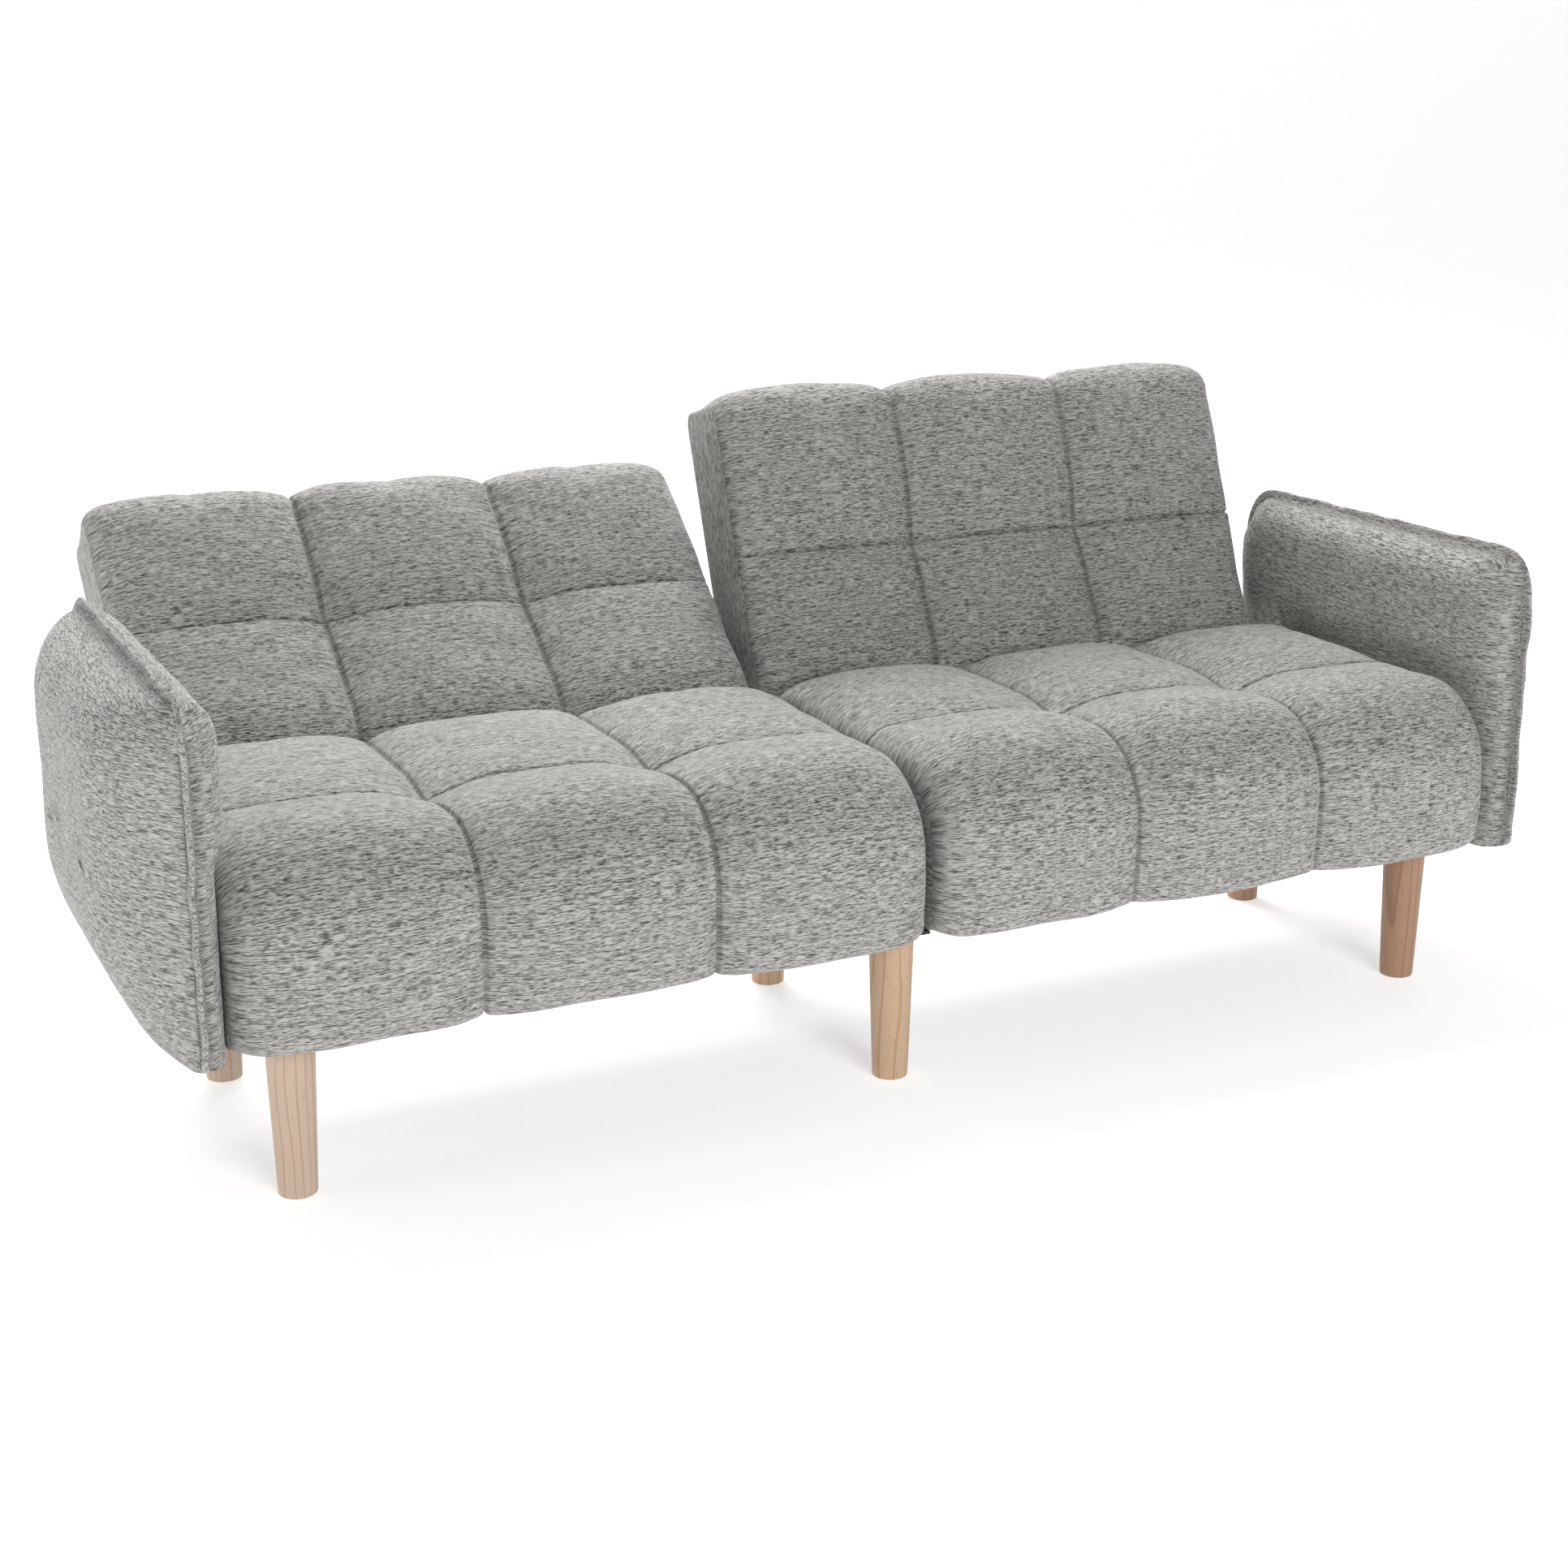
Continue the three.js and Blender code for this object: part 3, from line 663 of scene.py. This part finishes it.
class SOFABED_OT_arms(bpy.types.Operator):
    """Two pillow arms, each of an inner and an outer panel sewn together with a flange"""

    bl_idname = "sofabed.arms"
    bl_label = "Arms"

    def execute(self, context):
        width = shape().flange
        front, rear = ARM_LOW.y + 0.005 + width, ARM_HIGH.y - width
        bottom, top = ARM_LOW.z + 0.001, ARM_HIGH.z - width
        self.limits = (front, rear, bottom, top)
        self.loop = Loop([(rear, bottom, 0.020), (rear, top, 0.055), (front, top, 0.042), (front, bottom, 0.012)])
        for side, sign in SIDES:
            arm = self.body(f"arm_cover_{side}", 51 if sign < 0 else 52)
            mirror = Matrix.Diagonal((sign, 1, 1, 1))
            arm.data.transform(mirror)
            if sign < 0:
                arm.data.flip_normals()
            cut_away(arm, self.openings(sign))
            finish_piece(arm, "seat_base", "upholstery_fabric", f"arm_cushion_{side}",
                         look=material("linen_weave"))
            stitches = self.stitches(f"arm_stitches_{side}")
            stitches.data.transform(mirror)
            if sign < 0:
                stitches.data.flip_normals()
            finish_piece(stitches, "seat_base", "upholstery_fabric", look=material("polyester_thread"))
        return {"FINISHED"}

    def swell(self, points, outer):
        """How far a panel stands off the seam plane at its y, z points."""
        front, rear, bottom, top = self.limits
        y, z = points[:, 0], points[:, 1]
        if outer:
            behind = (wedge(rear - y, 0.180) + dome(rear - y, 0.120)) / 2
            height = OUTER_SWELL * dome(top - z, 0.088) * wedge(y - front, 0.190) * behind
            low = np.clip((bottom + 0.130 - z) / 0.130, 0, 1)
            return height * (1 - 0.60 * low ** 1.6)
        height = INNER_SWELL * dome(top - z, 0.048) * dome(y - front, 0.070) * dome(rear - y, 0.115)
        low = np.clip((0.455 - z) / 0.060, 0, 1)
        return height * (1 - 0.30 * low * low * (3 - 2 * low))

    def sewn_share(self, s):
        """1 where the flange runs, round the rear, top and front, and 0 underneath."""
        front, rear, bottom, _ = self.limits
        z = self.loop.at(s)[:, 1]
        return np.clip((z - bottom - 0.002) / 0.008, 0, 1)

    def body(self, name, seed):
        width = shape().flange
        steps = graded(0, self.loop.length, [], 0.0085)[:-1]
        count = len(steps)
        edge, normal, sewn = self.loop.at(steps), self.loop.normal(steps), self.sewn_share(steps)
        front, rear, bottom, top = self.limits
        margin = (top - bottom) / 2
        spine = np.clip(edge, (front + margin, bottom + margin), (rear - margin, top - margin))
        shares = np.concatenate([[0.006, 0.016, 0.032, 0.055, 0.085, 0.125, 0.17], np.linspace(0.225, CORE, 12)])
        waver = 0.0012 * Ripple(seed, 0.060, 0.26)(steps) * sewn
        sway = 0.0008 * Ripple(seed + 1, 0.05, 0.2)(steps) * sewn

        def stand_off(share, outer):
            """The panel's swell, brought to nothing where it meets the sewn edge."""
            inside = edge * (1 - share) + spine * share
            away = np.linalg.norm(inside - edge, axis=1)
            return self.swell(inside, outer) - self.swell(edge, outer) * sewn * np.exp(-(away / 0.024) ** 2), inside

        inner_edge = ARM_SEAM - FLANGE_HALF - stand_off(0, False)[0]
        outer_edge = ARM_SEAM + FLANGE_HALF + stand_off(0, True)[0]
        rows = []
        for share in shares[::-1]:
            height, points = stand_off(share, False)
            rows.append((ARM_SEAM - FLANGE_HALF - height + waver * (1 - share) ** 8, points))
        # across the flange: out along the inner side, round the folded edge, and back on the outer side
        for across, out in ((0, 0), (0.02, 0.45), (0.06, 0.85), (0.25, 0.98), (0.5, 1), (0.75, 0.98),
                            (0.94, 0.85), (0.98, 0.45), (1, 0)):
            reach = (out * (width + sway) * sewn)[:, None]
            rows.append((inner_edge * (1 - across) + outer_edge * across + waver, edge + normal * reach))
        for share in shares:
            height, points = stand_off(share, True)
            rows.append((ARM_SEAM + FLANGE_HALF + height + waver * (1 - share) ** 8, points))
        vertices, param = [], []
        for number, (x, points) in enumerate(rows):
            vertices += [(a, b, c) for a, (b, c) in zip(x, points)]
            param += [(number, s, f) for s, f in zip(steps, sewn)]
        faces, weave = [], []
        for i in range(len(rows) - 1):
            for j in range(count):
                k = (j + 1) % count
                quad = (i * count + j, i * count + k, (i + 1) * count + k, (i + 1) * count + j)
                faces.append(quad)
                weave += self.cloth_at([vertices[v] for v in quad])
        last = (len(rows) - 1) * count
        for middle in (range(count)[::-1], range(last, last + count)):
            faces.append(tuple(middle))
            weave += [(vertices[v][1], vertices[v][2], 3) for v in middle]
        arm = new_object(name, vertices, faces, weave, param)
        merge_and_orient(arm)
        subdivide(arm)
        self.pucker(arm, seed)
        return arm

    def cloth_at(self, corners):
        """The threads run level on every face: along Y, or along X where the face looks to the front."""
        a, b, c, d = (Vector(corner) for corner in corners)
        normal = (c - a).cross(d - b)
        towards = max(range(3), key=lambda axis: abs(normal[axis]))
        along, across = ((1, 2), (0, 2), (1, 0))[towards]
        return [(corner[along], corner[across], 3 + towards) for corner in corners]

    def pucker(self, arm, seed):
        """Small gathers where the panels meet the flange, a soft uneven fill, and painted shade in the crease beside
        the flange.
        """
        points, normals = read_points(arm), normals_of(arm)
        front, rear, bottom, top = self.limits
        y, z = points[:, 1], points[:, 2]
        from_edge = np.minimum(np.minimum(top - z, y - front), rear - y)
        along = read_attribute(arm, "param")[:, 1]
        near = np.exp(-np.clip(from_edge, 0, 1) / 0.022) * np.clip(from_edge / 0.004, 0, 1)
        gather = 0.0004 * near * Ripple(seed + 2, 0.030, 0.090)(along)
        middle = np.clip(from_edge / 0.08, 0, 1)
        fill = Ripple(seed + 3, 0.12, 0.4, 4)(y + 0.4 * z) + Ripple(seed + 4, 0.1, 0.3, 4)(z - 0.3 * y)
        uneven = 0.0007 * middle * fill
        points += normals * ((gather + uneven) * (z > bottom + 0.01))[:, None]
        write_points(arm, points)
        # painted shade: the cloth darkens in the crease where each panel meets the flange
        write_seam_shade(arm, np.exp(-(from_edge / 0.0022) ** 2))

    def openings(self, sign):
        board_low, board_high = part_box("arm_board_right")
        slack = 0.0004
        return [box_tool(*mirrored(sign, (board_low.x - slack, board_low.y - slack, ARM_LOW.z - 0.02),
                                   (board_high.x + slack, board_high.y + slack, board_high.z + slack)))]

    def stitches(self, name):
        """One line of lock stitches along each side of the flange."""
        length = shape().stitch
        pitch = length * 1.35
        inset = shape().flange * 0.14
        vertices, faces = [], []
        for step in np.arange(0, self.loop.length, pitch):
            if self.sewn_share(np.array([step]))[0] < 1:
                continue
            start, end = self.loop.at(step), self.loop.at(step + length)
            out = self.loop.normal(step) * inset
            for side in (-1, 1):
                x = ARM_SEAM + side * (FLANGE_HALF + 0.0002)
                add_thread(vertices, faces, (x, *(start + out)), (x, *(end + out)), 0.00055)
        return new_object(name, vertices, faces)


def add_thread(vertices, faces, start, end, radius, sides=6):
    """Appends a short thread with pinched ends, lying from start to end."""
    start, end = Vector(start), Vector(end)
    axis = (end - start).normalized()
    across = axis.cross(Vector((1, 0, 0))).normalized()
    lift = axis.cross(across)
    first = len(vertices)
    for share, scale in ((0, 0.35), (0.2, 1), (0.8, 1), (1, 0.35)):
        centre = start.lerp(end, share)
        for k in range(sides):
            turn = 2 * math.pi * k / sides
            vertices.append(tuple(centre + (across * math.cos(turn) + lift * math.sin(turn)) * radius * scale))
    for ring in range(3):
        for k in range(sides):
            a, b = first + ring * sides + k, first + ring * sides + (k + 1) % sides
            faces.append((a, b, b + sides, a + sides))
    faces.append(tuple(first + k for k in range(sides))[::-1])
    faces.append(tuple(first + 3 * sides + k for k in range(sides)))


# ---- Legs -----------------------------------------------------------------------------------------
class SOFABED_OT_legs(bpy.types.Operator):
    """Six turned legs, tapered to the foot, with eased edges"""

    bl_idname = "sofabed.legs"
    bl_label = "Legs"

    def execute(self, context):
        finish = {"left": "rubberwood_pale", "centre": "rubberwood_tan", "right": "rubberwood_brown"}
        for row in ("front", "rear"):
            for place, look in finish.items():
                node = f"leg_{row}_{place}"
                low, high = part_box(node)
                leg = self.turned(f"turned_{node}", high.z - low.z)
                leg.data.transform(Matrix.Translation(((low.x + high.x) / 2, (low.y + high.y) / 2, low.z)))
                finish_piece(leg, "seat_base", "leg_wood", node, look=material(look))
        return {"FINISHED"}

    def turned(self, name, height, foot=0.0222, top=0.0282, eased=0.0025, sides=64):
        rings = [(0.0, 0.0), (foot - eased * 1.6, 0.0)]
        for k in range(5):
            turn = math.pi / 2 * k / 4
            rings.append((foot - eased + eased * math.sin(turn), eased - eased * math.cos(turn)))
        for k in range(1, 12):
            share = k / 11
            rings.append((foot + (top - foot) * share, eased + (height - 2 * eased) * share))
        rings += [(top - eased * 0.3, height - eased * 0.3), (top - eased, height), (0.0, height)]
        vertices, faces = [], []
        for radius, z in rings:
            for k in range(sides):
                turn = 2 * math.pi * k / sides
                vertices.append((radius * math.cos(turn), radius * math.sin(turn), z))
        for i in range(len(rings) - 1):
            for k in range(sides):
                a, b = i * sides + k, i * sides + (k + 1) % sides
                faces.append((a, b, b + sides, a + sides))
        leg = new_object(name, vertices, faces)
        merge_and_orient(leg, distance=1e-6, dissolve=False)
        return leg


# ---- Frame finishes -------------------------------------------------------------------------------
class SOFABED_OT_frame_finishes(bpy.types.Operator):
    """Timber, coated steel and zinc on the frame's own pieces"""

    bl_idname = "sofabed.frame_finishes"
    bl_label = "Frame finishes"

    LOOKS = {"frame_timber": "planed_pine", "black_steel": "powder_coated_steel", "zinc_steel": "zinc_plated_steel"}

    def execute(self, context):
        slots = {row["node"]: row["material_slot"] for row in frame["record"]["subparts"]}
        for node, piece in frame["nodes"].items():
            look = self.LOOKS.get(slots[node])
            if look is None:
                continue
            for index in range(len(piece.material_slots)):
                piece.material_slots[index].material = material(look)
        return {"FINISHED"}


# ---- Materials ------------------------------------------------------------------------------------
def node_adder(tree):
    """Returns add(type, settings, **inputs): makes a node, sets its properties, and links or sets its inputs."""

    def add(kind, settings=None, **inputs):
        made = tree.nodes.new("ShaderNode" + kind)
        for key, value in (settings or {}).items():
            setattr(made, key, value)
        for key, value in inputs.items():
            socket = made.inputs[int(key[1:])] if key[0] == "i" and key[1:].isdigit() else made.inputs[
                key.replace("_", " ")]
            if isinstance(value, bpy.types.NodeSocket):
                tree.links.new(value, socket)
            else:
                socket.default_value = value
        return made

    return add


def start_material(name):
    """An empty node material and its adder."""
    made = bpy.data.materials.new(name)
    made.use_nodes = True
    made.node_tree.nodes.clear()
    add = node_adder(made.node_tree)
    return made, add


def end_material(made, add, shader, normal=None):
    if normal is not None:
        made.node_tree.links.new(normal, shader.inputs["Normal"])
    add("OutputMaterial", Surface=shader.outputs["BSDF"])
    return made


def colour_ramp(add, value, stops):
    """A ramp from (position, hex) stops."""
    ramp = add("ValToRGB", Fac=value)
    elements = ramp.color_ramp.elements
    while len(elements) < len(stops):
        elements.new(0.5)
    for element, (position, colour) in zip(elements, stops):
        element.position = position
        element.color = linear(colour)
    return ramp.outputs["Color"]


def linen_weave():
    """Polyester linen-look weave: matte, with short dark and pale slubs running across the cloth, and painted shade
    darkening it in the seam creases.
    """
    made, add = start_material("linen_weave")
    palette = colours()
    weave = add("Attribute", {"attribute_name": "weave"}).outputs["Vector"]
    # the seam mask, which marks where shade is painted into the creases
    seam = add("Attribute", {"attribute_name": "seam"}).outputs["Fac"]
    # slubs about 15 mm long on threads 1.2 mm apart, over finer yarns and faint wider bands
    slubs = add("Mapping", Vector=weave, Scale=(66.0, 820.0, 7.0)).outputs["Vector"]
    slub = add("TexNoise", Vector=slubs, Scale=1.0, Detail=2.0, Roughness=0.6)
    yarns = add("Mapping", Vector=weave, Scale=(170.0, 1700.0, 7.0)).outputs["Vector"]
    grain = add("TexNoise", Vector=yarns, Scale=1.0, Detail=0.0)
    bands = add("Mapping", Vector=weave, Scale=(16.0, 260.0, 3.0)).outputs["Vector"]
    band = add("TexNoise", Vector=bands, Scale=1.0, Detail=1.0, Roughness=0.5)
    mixed = add("Math", {"operation": "MULTIPLY_ADD"}, i0=grain.outputs["Fac"], i1=0.45,
                i2=slub.outputs["Fac"]).outputs[0]
    mixed = add("Math", {"operation": "MULTIPLY_ADD"}, i0=band.outputs["Fac"], i1=0.26, i2=mixed).outputs[0]
    level = add("MapRange", {"clamp": True}, Value=mixed, From_Min=0.73, From_Max=0.955).outputs[0]
    colour = colour_ramp(add, level, [(0.0, palette.yarn_dark), (0.48, palette.yarn_mid), (0.90, palette.yarn_light)])
    # painted shade: multiplies the cloth towards dark grey 4A4947 in the seam and edge creases, where shade falls
    shade = add("Math", {"operation": "MULTIPLY"}, i0=seam, i1=0.34).outputs[0]
    colour = add("Mix", {"data_type": "RGBA", "blend_type": "MULTIPLY"}, i0=shade, i6=colour,
                 i7=linear("4A4947")).outputs[2]
    rough = add("MapRange", {"clamp": True}, Value=level, To_Min=0.98, To_Max=0.86).outputs[0]
    relief = add("Math", {"operation": "MULTIPLY_ADD"}, i0=grain.outputs["Fac"], i1=0.6,
                 i2=slub.outputs["Fac"]).outputs[0]
    bump = add("Bump", Height=relief, Strength=0.22, Distance=0.0005)
    shader = add("BsdfPrincipled", Base_Color=colour, Roughness=rough, Sheen_Weight=0.18, Sheen_Roughness=0.5,
                 Specular_IOR_Level=0.22)
    return end_material(made, add, shader, bump.outputs["Normal"])


def polyester_thread():
    """Sewing thread: a shade darker than the cloth, with a slight sheen."""
    made, add = start_material("polyester_thread")
    place = add("TexCoord").outputs["Object"]
    twist = add("TexNoise", Vector=place, Scale=900.0, Detail=1.0)
    colour = colour_ramp(add, twist.outputs["Fac"], [(0.3, "56554F"), (0.7, colours().thread)])
    shader = add("BsdfPrincipled", Base_Color=colour, Roughness=0.6, Sheen_Weight=0.2)
    return end_material(made, add, shader)


def spunbond_cloth():
    """Spun-bonded polypropylene: thin black cloth with a grid of pressed dots."""
    made, add = start_material("spunbond_cloth")
    weave = add("Attribute", {"attribute_name": "weave"}).outputs["Vector"]
    dots = add("TexVoronoi", {"feature": "F1"}, Vector=weave, Scale=330.0, Randomness=0.15)
    fibres = add("TexNoise", Vector=weave, Scale=420.0, Detail=3.0)
    colour = colour_ramp(add, fibres.outputs["Fac"], [(0.3, "17171A"), (0.7, colours().cloth)])
    bump = add("Bump", Height=dots.outputs["Distance"], Strength=0.4, Distance=0.0004)
    shader = add("BsdfPrincipled", Base_Color=colour, Roughness=0.85, Specular_IOR_Level=0.25)
    return end_material(made, add, shader, bump.outputs["Normal"])


def wood(name, pale, dark, pore, roughness, ring_width, shift):
    """Turned or planed wood: bent growth rings along the length, with fine pores."""
    made, add = start_material(name)
    place = add("TexCoord").outputs["Object"]
    moved = add("Mapping", Vector=place, Location=shift, Scale=(1.0, 1.0, 0.16)).outputs["Vector"]
    bend = add("TexNoise", Vector=moved, Scale=14.0, Detail=2.0, Roughness=0.5)
    bent = add("Mix", {"data_type": "VECTOR"}, i0=0.035, i4=moved, i5=bend.outputs["Color"]).outputs[1]
    rings = add("TexWave", {"wave_type": "BANDS", "bands_direction": "X", "wave_profile": "SAW"}, Vector=bent,
                Scale=math.pi / (ring_width * 10), Distortion=3.0, Detail=2.0, Detail_Scale=1.0)
    fibre_space = add("Mapping", Vector=place, Scale=(900.0, 900.0, 45.0)).outputs["Vector"]
    fibres = add("TexNoise", Vector=fibre_space, Scale=1.0, Detail=2.0, Roughness=0.6)
    colour = colour_ramp(add, rings.outputs["Fac"], [(0.0, pale), (0.72, pale), (0.95, dark), (1.0, pale)])
    speck = add("MapRange", {"clamp": True}, Value=fibres.outputs["Fac"], From_Min=0.60, From_Max=0.74,
                To_Max=0.75).outputs[0]
    colour = add("Mix", {"data_type": "RGBA", "blend_type": "MIX"}, i0=speck, i6=colour, i7=linear(pore)).outputs[2]
    bump = add("Bump", Height=fibres.outputs["Fac"], Strength=0.2, Distance=0.0003)
    shader = add("BsdfPrincipled", Base_Color=colour, Roughness=roughness, Coat_Weight=0.12, Coat_Roughness=0.45,
                 Specular_IOR_Level=0.4)
    return end_material(made, add, shader, bump.outputs["Normal"])


def powder_coated_steel():
    """Black powder coat: satin, with a fine orange-peel texture."""
    made, add = start_material("powder_coated_steel")
    place = add("TexCoord").outputs["Object"]
    peel = add("TexNoise", Vector=place, Scale=650.0, Detail=2.0)
    colour = colour_ramp(add, peel.outputs["Fac"], [(0.3, "191A1C"), (0.7, colours().powder)])
    rough = add("MapRange", Value=peel.outputs["Fac"], To_Min=0.38, To_Max=0.56).outputs[0]
    bump = add("Bump", Height=peel.outputs["Fac"], Strength=0.25, Distance=0.0002)
    shader = add("BsdfPrincipled", Base_Color=colour, Roughness=rough)
    return end_material(made, add, shader, bump.outputs["Normal"])


def zinc_plated_steel():
    """Bright zinc plate over drawn steel: pale metal with a cloudy crystal pattern."""
    made, add = start_material("zinc_plated_steel")
    place = add("TexCoord").outputs["Object"]
    cloud = add("TexNoise", Vector=place, Scale=220.0, Detail=3.0)
    colour = colour_ramp(add, cloud.outputs["Fac"], [(0.3, "9A9DA0"), (0.7, colours().zinc)])
    rough = add("MapRange", Value=cloud.outputs["Fac"], To_Min=0.24, To_Max=0.42).outputs[0]
    shader = add("BsdfPrincipled", Base_Color=colour, Roughness=rough, Metallic=1.0)
    return end_material(made, add, shader)


def material(name):
    """The named material, made the first time that it is asked for."""
    if name in bpy.data.materials:
        return bpy.data.materials[name]
    palette = colours()
    makers = {make.__name__: make for make in (
        linen_weave, polyester_thread, spunbond_cloth, powder_coated_steel, zinc_plated_steel)}
    makers |= {
        "rubberwood_pale": lambda: wood(
            "rubberwood_pale", palette.leg_pale, "B2937A", "A5866C", 0.55, 0.010, (0.83, 0.02, 0.0)),
        "rubberwood_tan": lambda: wood(
            "rubberwood_tan", palette.leg_tan, "AE8A68", "98764F", 0.55, 0.012, (0.03, 0.5, 0.2)),
        "rubberwood_brown": lambda: wood(
            "rubberwood_brown", palette.leg_brown, "8E6B52", "75553F", 0.58, 0.012, (0.4, 0.1, 0.5)),
        "planed_pine": lambda: wood(
            "planed_pine", palette.pine, "A87E4C", "8C6336", 0.7, 0.006, (0.0, 0.0, 0.0)),
    }
    return makers[name]()


# ---- Stage ----------------------------------------------------------------------------------------
CAMERA_AZIMUTH = math.radians(-25.8)
CAMERA_ELEVATION = math.radians(15.5)
CAMERA_DISTANCE = 3.2
CAMERA_TARGET = (-0.0032, -0.0156, 0.3505)
CAMERA_LENS = 54.8
CAMERA_SHIFT = -0.0313


class SOFABED_OT_stage(bpy.types.Operator):
    """Pale floor, soft studio light and the camera"""

    bl_idname = "sofabed.stage"
    bl_label = "Stage"

    def execute(self, context):
        self.backdrop()
        self.world()
        self.softbox("overhead_softbox", (0.3, 2.1, 3.1), (0.1, 0.1, 0.3), 2.2, 165)
        self.softbox("front_softbox", (0.0, -5.2, 2.2), (0.0, 0.0, 0.4), 2.4, 133)
        self.softbox("side_softbox", (-3.0, -0.2, 0.36), (-0.9, 0.1, 0.38), 0.6, 11)
        self.camera()
        return {"FINISHED"}

    def backdrop(self):
        """A floor that curves up behind the sofa into a wall."""
        profile = [(-9.0, 0.0), (3.5, 0.0)]
        profile += [(3.5 + 3 * math.sin(t), 3 - 3 * math.cos(t)) for t in np.linspace(0, math.pi / 2, 17)[1:]]
        profile.append((6.5, 9.0))
        vertices = [(x, y, z) for y, z in profile for x in (-14.0, 14.0)]
        faces = [(2 * k, 2 * k + 1, 2 * k + 3, 2 * k + 2) for k in range(len(profile) - 1)]
        backdrop = new_object("studio_backdrop", vertices, faces)
        made, add = start_material("matte_white_backdrop")
        shader = add("BsdfPrincipled", Base_Color=linear("FAFAFA"), Roughness=0.95, Specular_IOR_Level=0.1,
                     Emission_Color=linear("FFFFFF"), Emission_Strength=0.52)
        backdrop.data.materials.append(end_material(made, add, shader))

    def world(self):
        world = bpy.data.worlds.new("studio_white")
        world.use_nodes = True
        background = world.node_tree.nodes["Background"]
        background.inputs["Color"].default_value = (1.0, 1.0, 1.0, 1.0)
        background.inputs["Strength"].default_value = 0.23
        bpy.context.scene.world = world
        bpy.context.scene.view_settings.view_transform = "Standard"

    def softbox(self, name, place, target, size, power):
        light = bpy.data.lights.new(name, "AREA")
        light.shape = "SQUARE"
        light.size = size
        light.energy = power
        lamp = bpy.data.objects.new(name, light)
        bpy.context.collection.objects.link(lamp)
        lamp.location = place
        lamp.rotation_euler = (Vector(target) - Vector(place)).to_track_quat("-Z", "Y").to_euler()

    def camera(self):
        data = bpy.data.cameras.new("camera")
        data.lens = CAMERA_LENS
        data.sensor_width = 36
        data.shift_y = CAMERA_SHIFT
        camera = bpy.data.objects.new("camera", data)
        bpy.context.collection.objects.link(camera)
        level = math.cos(CAMERA_ELEVATION)
        back = Vector((math.sin(CAMERA_AZIMUTH) * level, -math.cos(CAMERA_AZIMUTH) * level,
                       math.sin(CAMERA_ELEVATION)))
        camera.location = Vector(CAMERA_TARGET) + back * CAMERA_DISTANCE
        camera.rotation_euler = (math.pi / 2 - CAMERA_ELEVATION, 0, CAMERA_AZIMUTH)
        bpy.context.scene.camera = camera


# ---- Panel and registration -----------------------------------------------------------------------
OPERATORS = (
    SOFABED_OT_seat_covers,
    SOFABED_OT_back_covers,
    SOFABED_OT_cloth_panels,
    SOFABED_OT_arms,
    SOFABED_OT_legs,
    SOFABED_OT_frame_finishes,
    SOFABED_OT_stage,
)


class SOFABED_PT_panel(bpy.types.Panel):
    """Lists the sofa bed's makers and their settings"""

    bl_idname = "SOFABED_PT_panel"
    bl_label = "Futon Sofa Bed"
    bl_space_type = "VIEW_3D"
    bl_region_type = "UI"
    bl_category = "Sofa Bed"

    def draw(self, context):
        layout = self.layout
        for group in (context.scene.sofa_bed_shape, context.scene.sofa_bed_colours):
            for name in group.__annotations__:
                layout.prop(group, name)
        for operator in OPERATORS:
            layout.operator(operator.bl_idname)


CLASSES = (SofaBedShape, SofaBedColours, *OPERATORS, SOFABED_PT_panel)


def register():
    for cls in CLASSES:
        bpy.utils.register_class(cls)
    bpy.types.Scene.sofa_bed_shape = bpy.props.PointerProperty(type=SofaBedShape)
    bpy.types.Scene.sofa_bed_colours = bpy.props.PointerProperty(type=SofaBedColours)


def unregister():
    del bpy.types.Scene.sofa_bed_colours
    del bpy.types.Scene.sofa_bed_shape
    for cls in reversed(CLASSES):
        bpy.utils.unregister_class(cls)


def main():
    register()
    bpy.ops.sofabed.seat_covers()
    bpy.ops.sofabed.back_covers()
    bpy.ops.sofabed.cloth_panels()
    bpy.ops.sofabed.arms()
    bpy.ops.sofabed.legs()
    bpy.ops.sofabed.frame_finishes()
    bpy.ops.sofabed.stage()


if __name__ == "__main__":
    main()
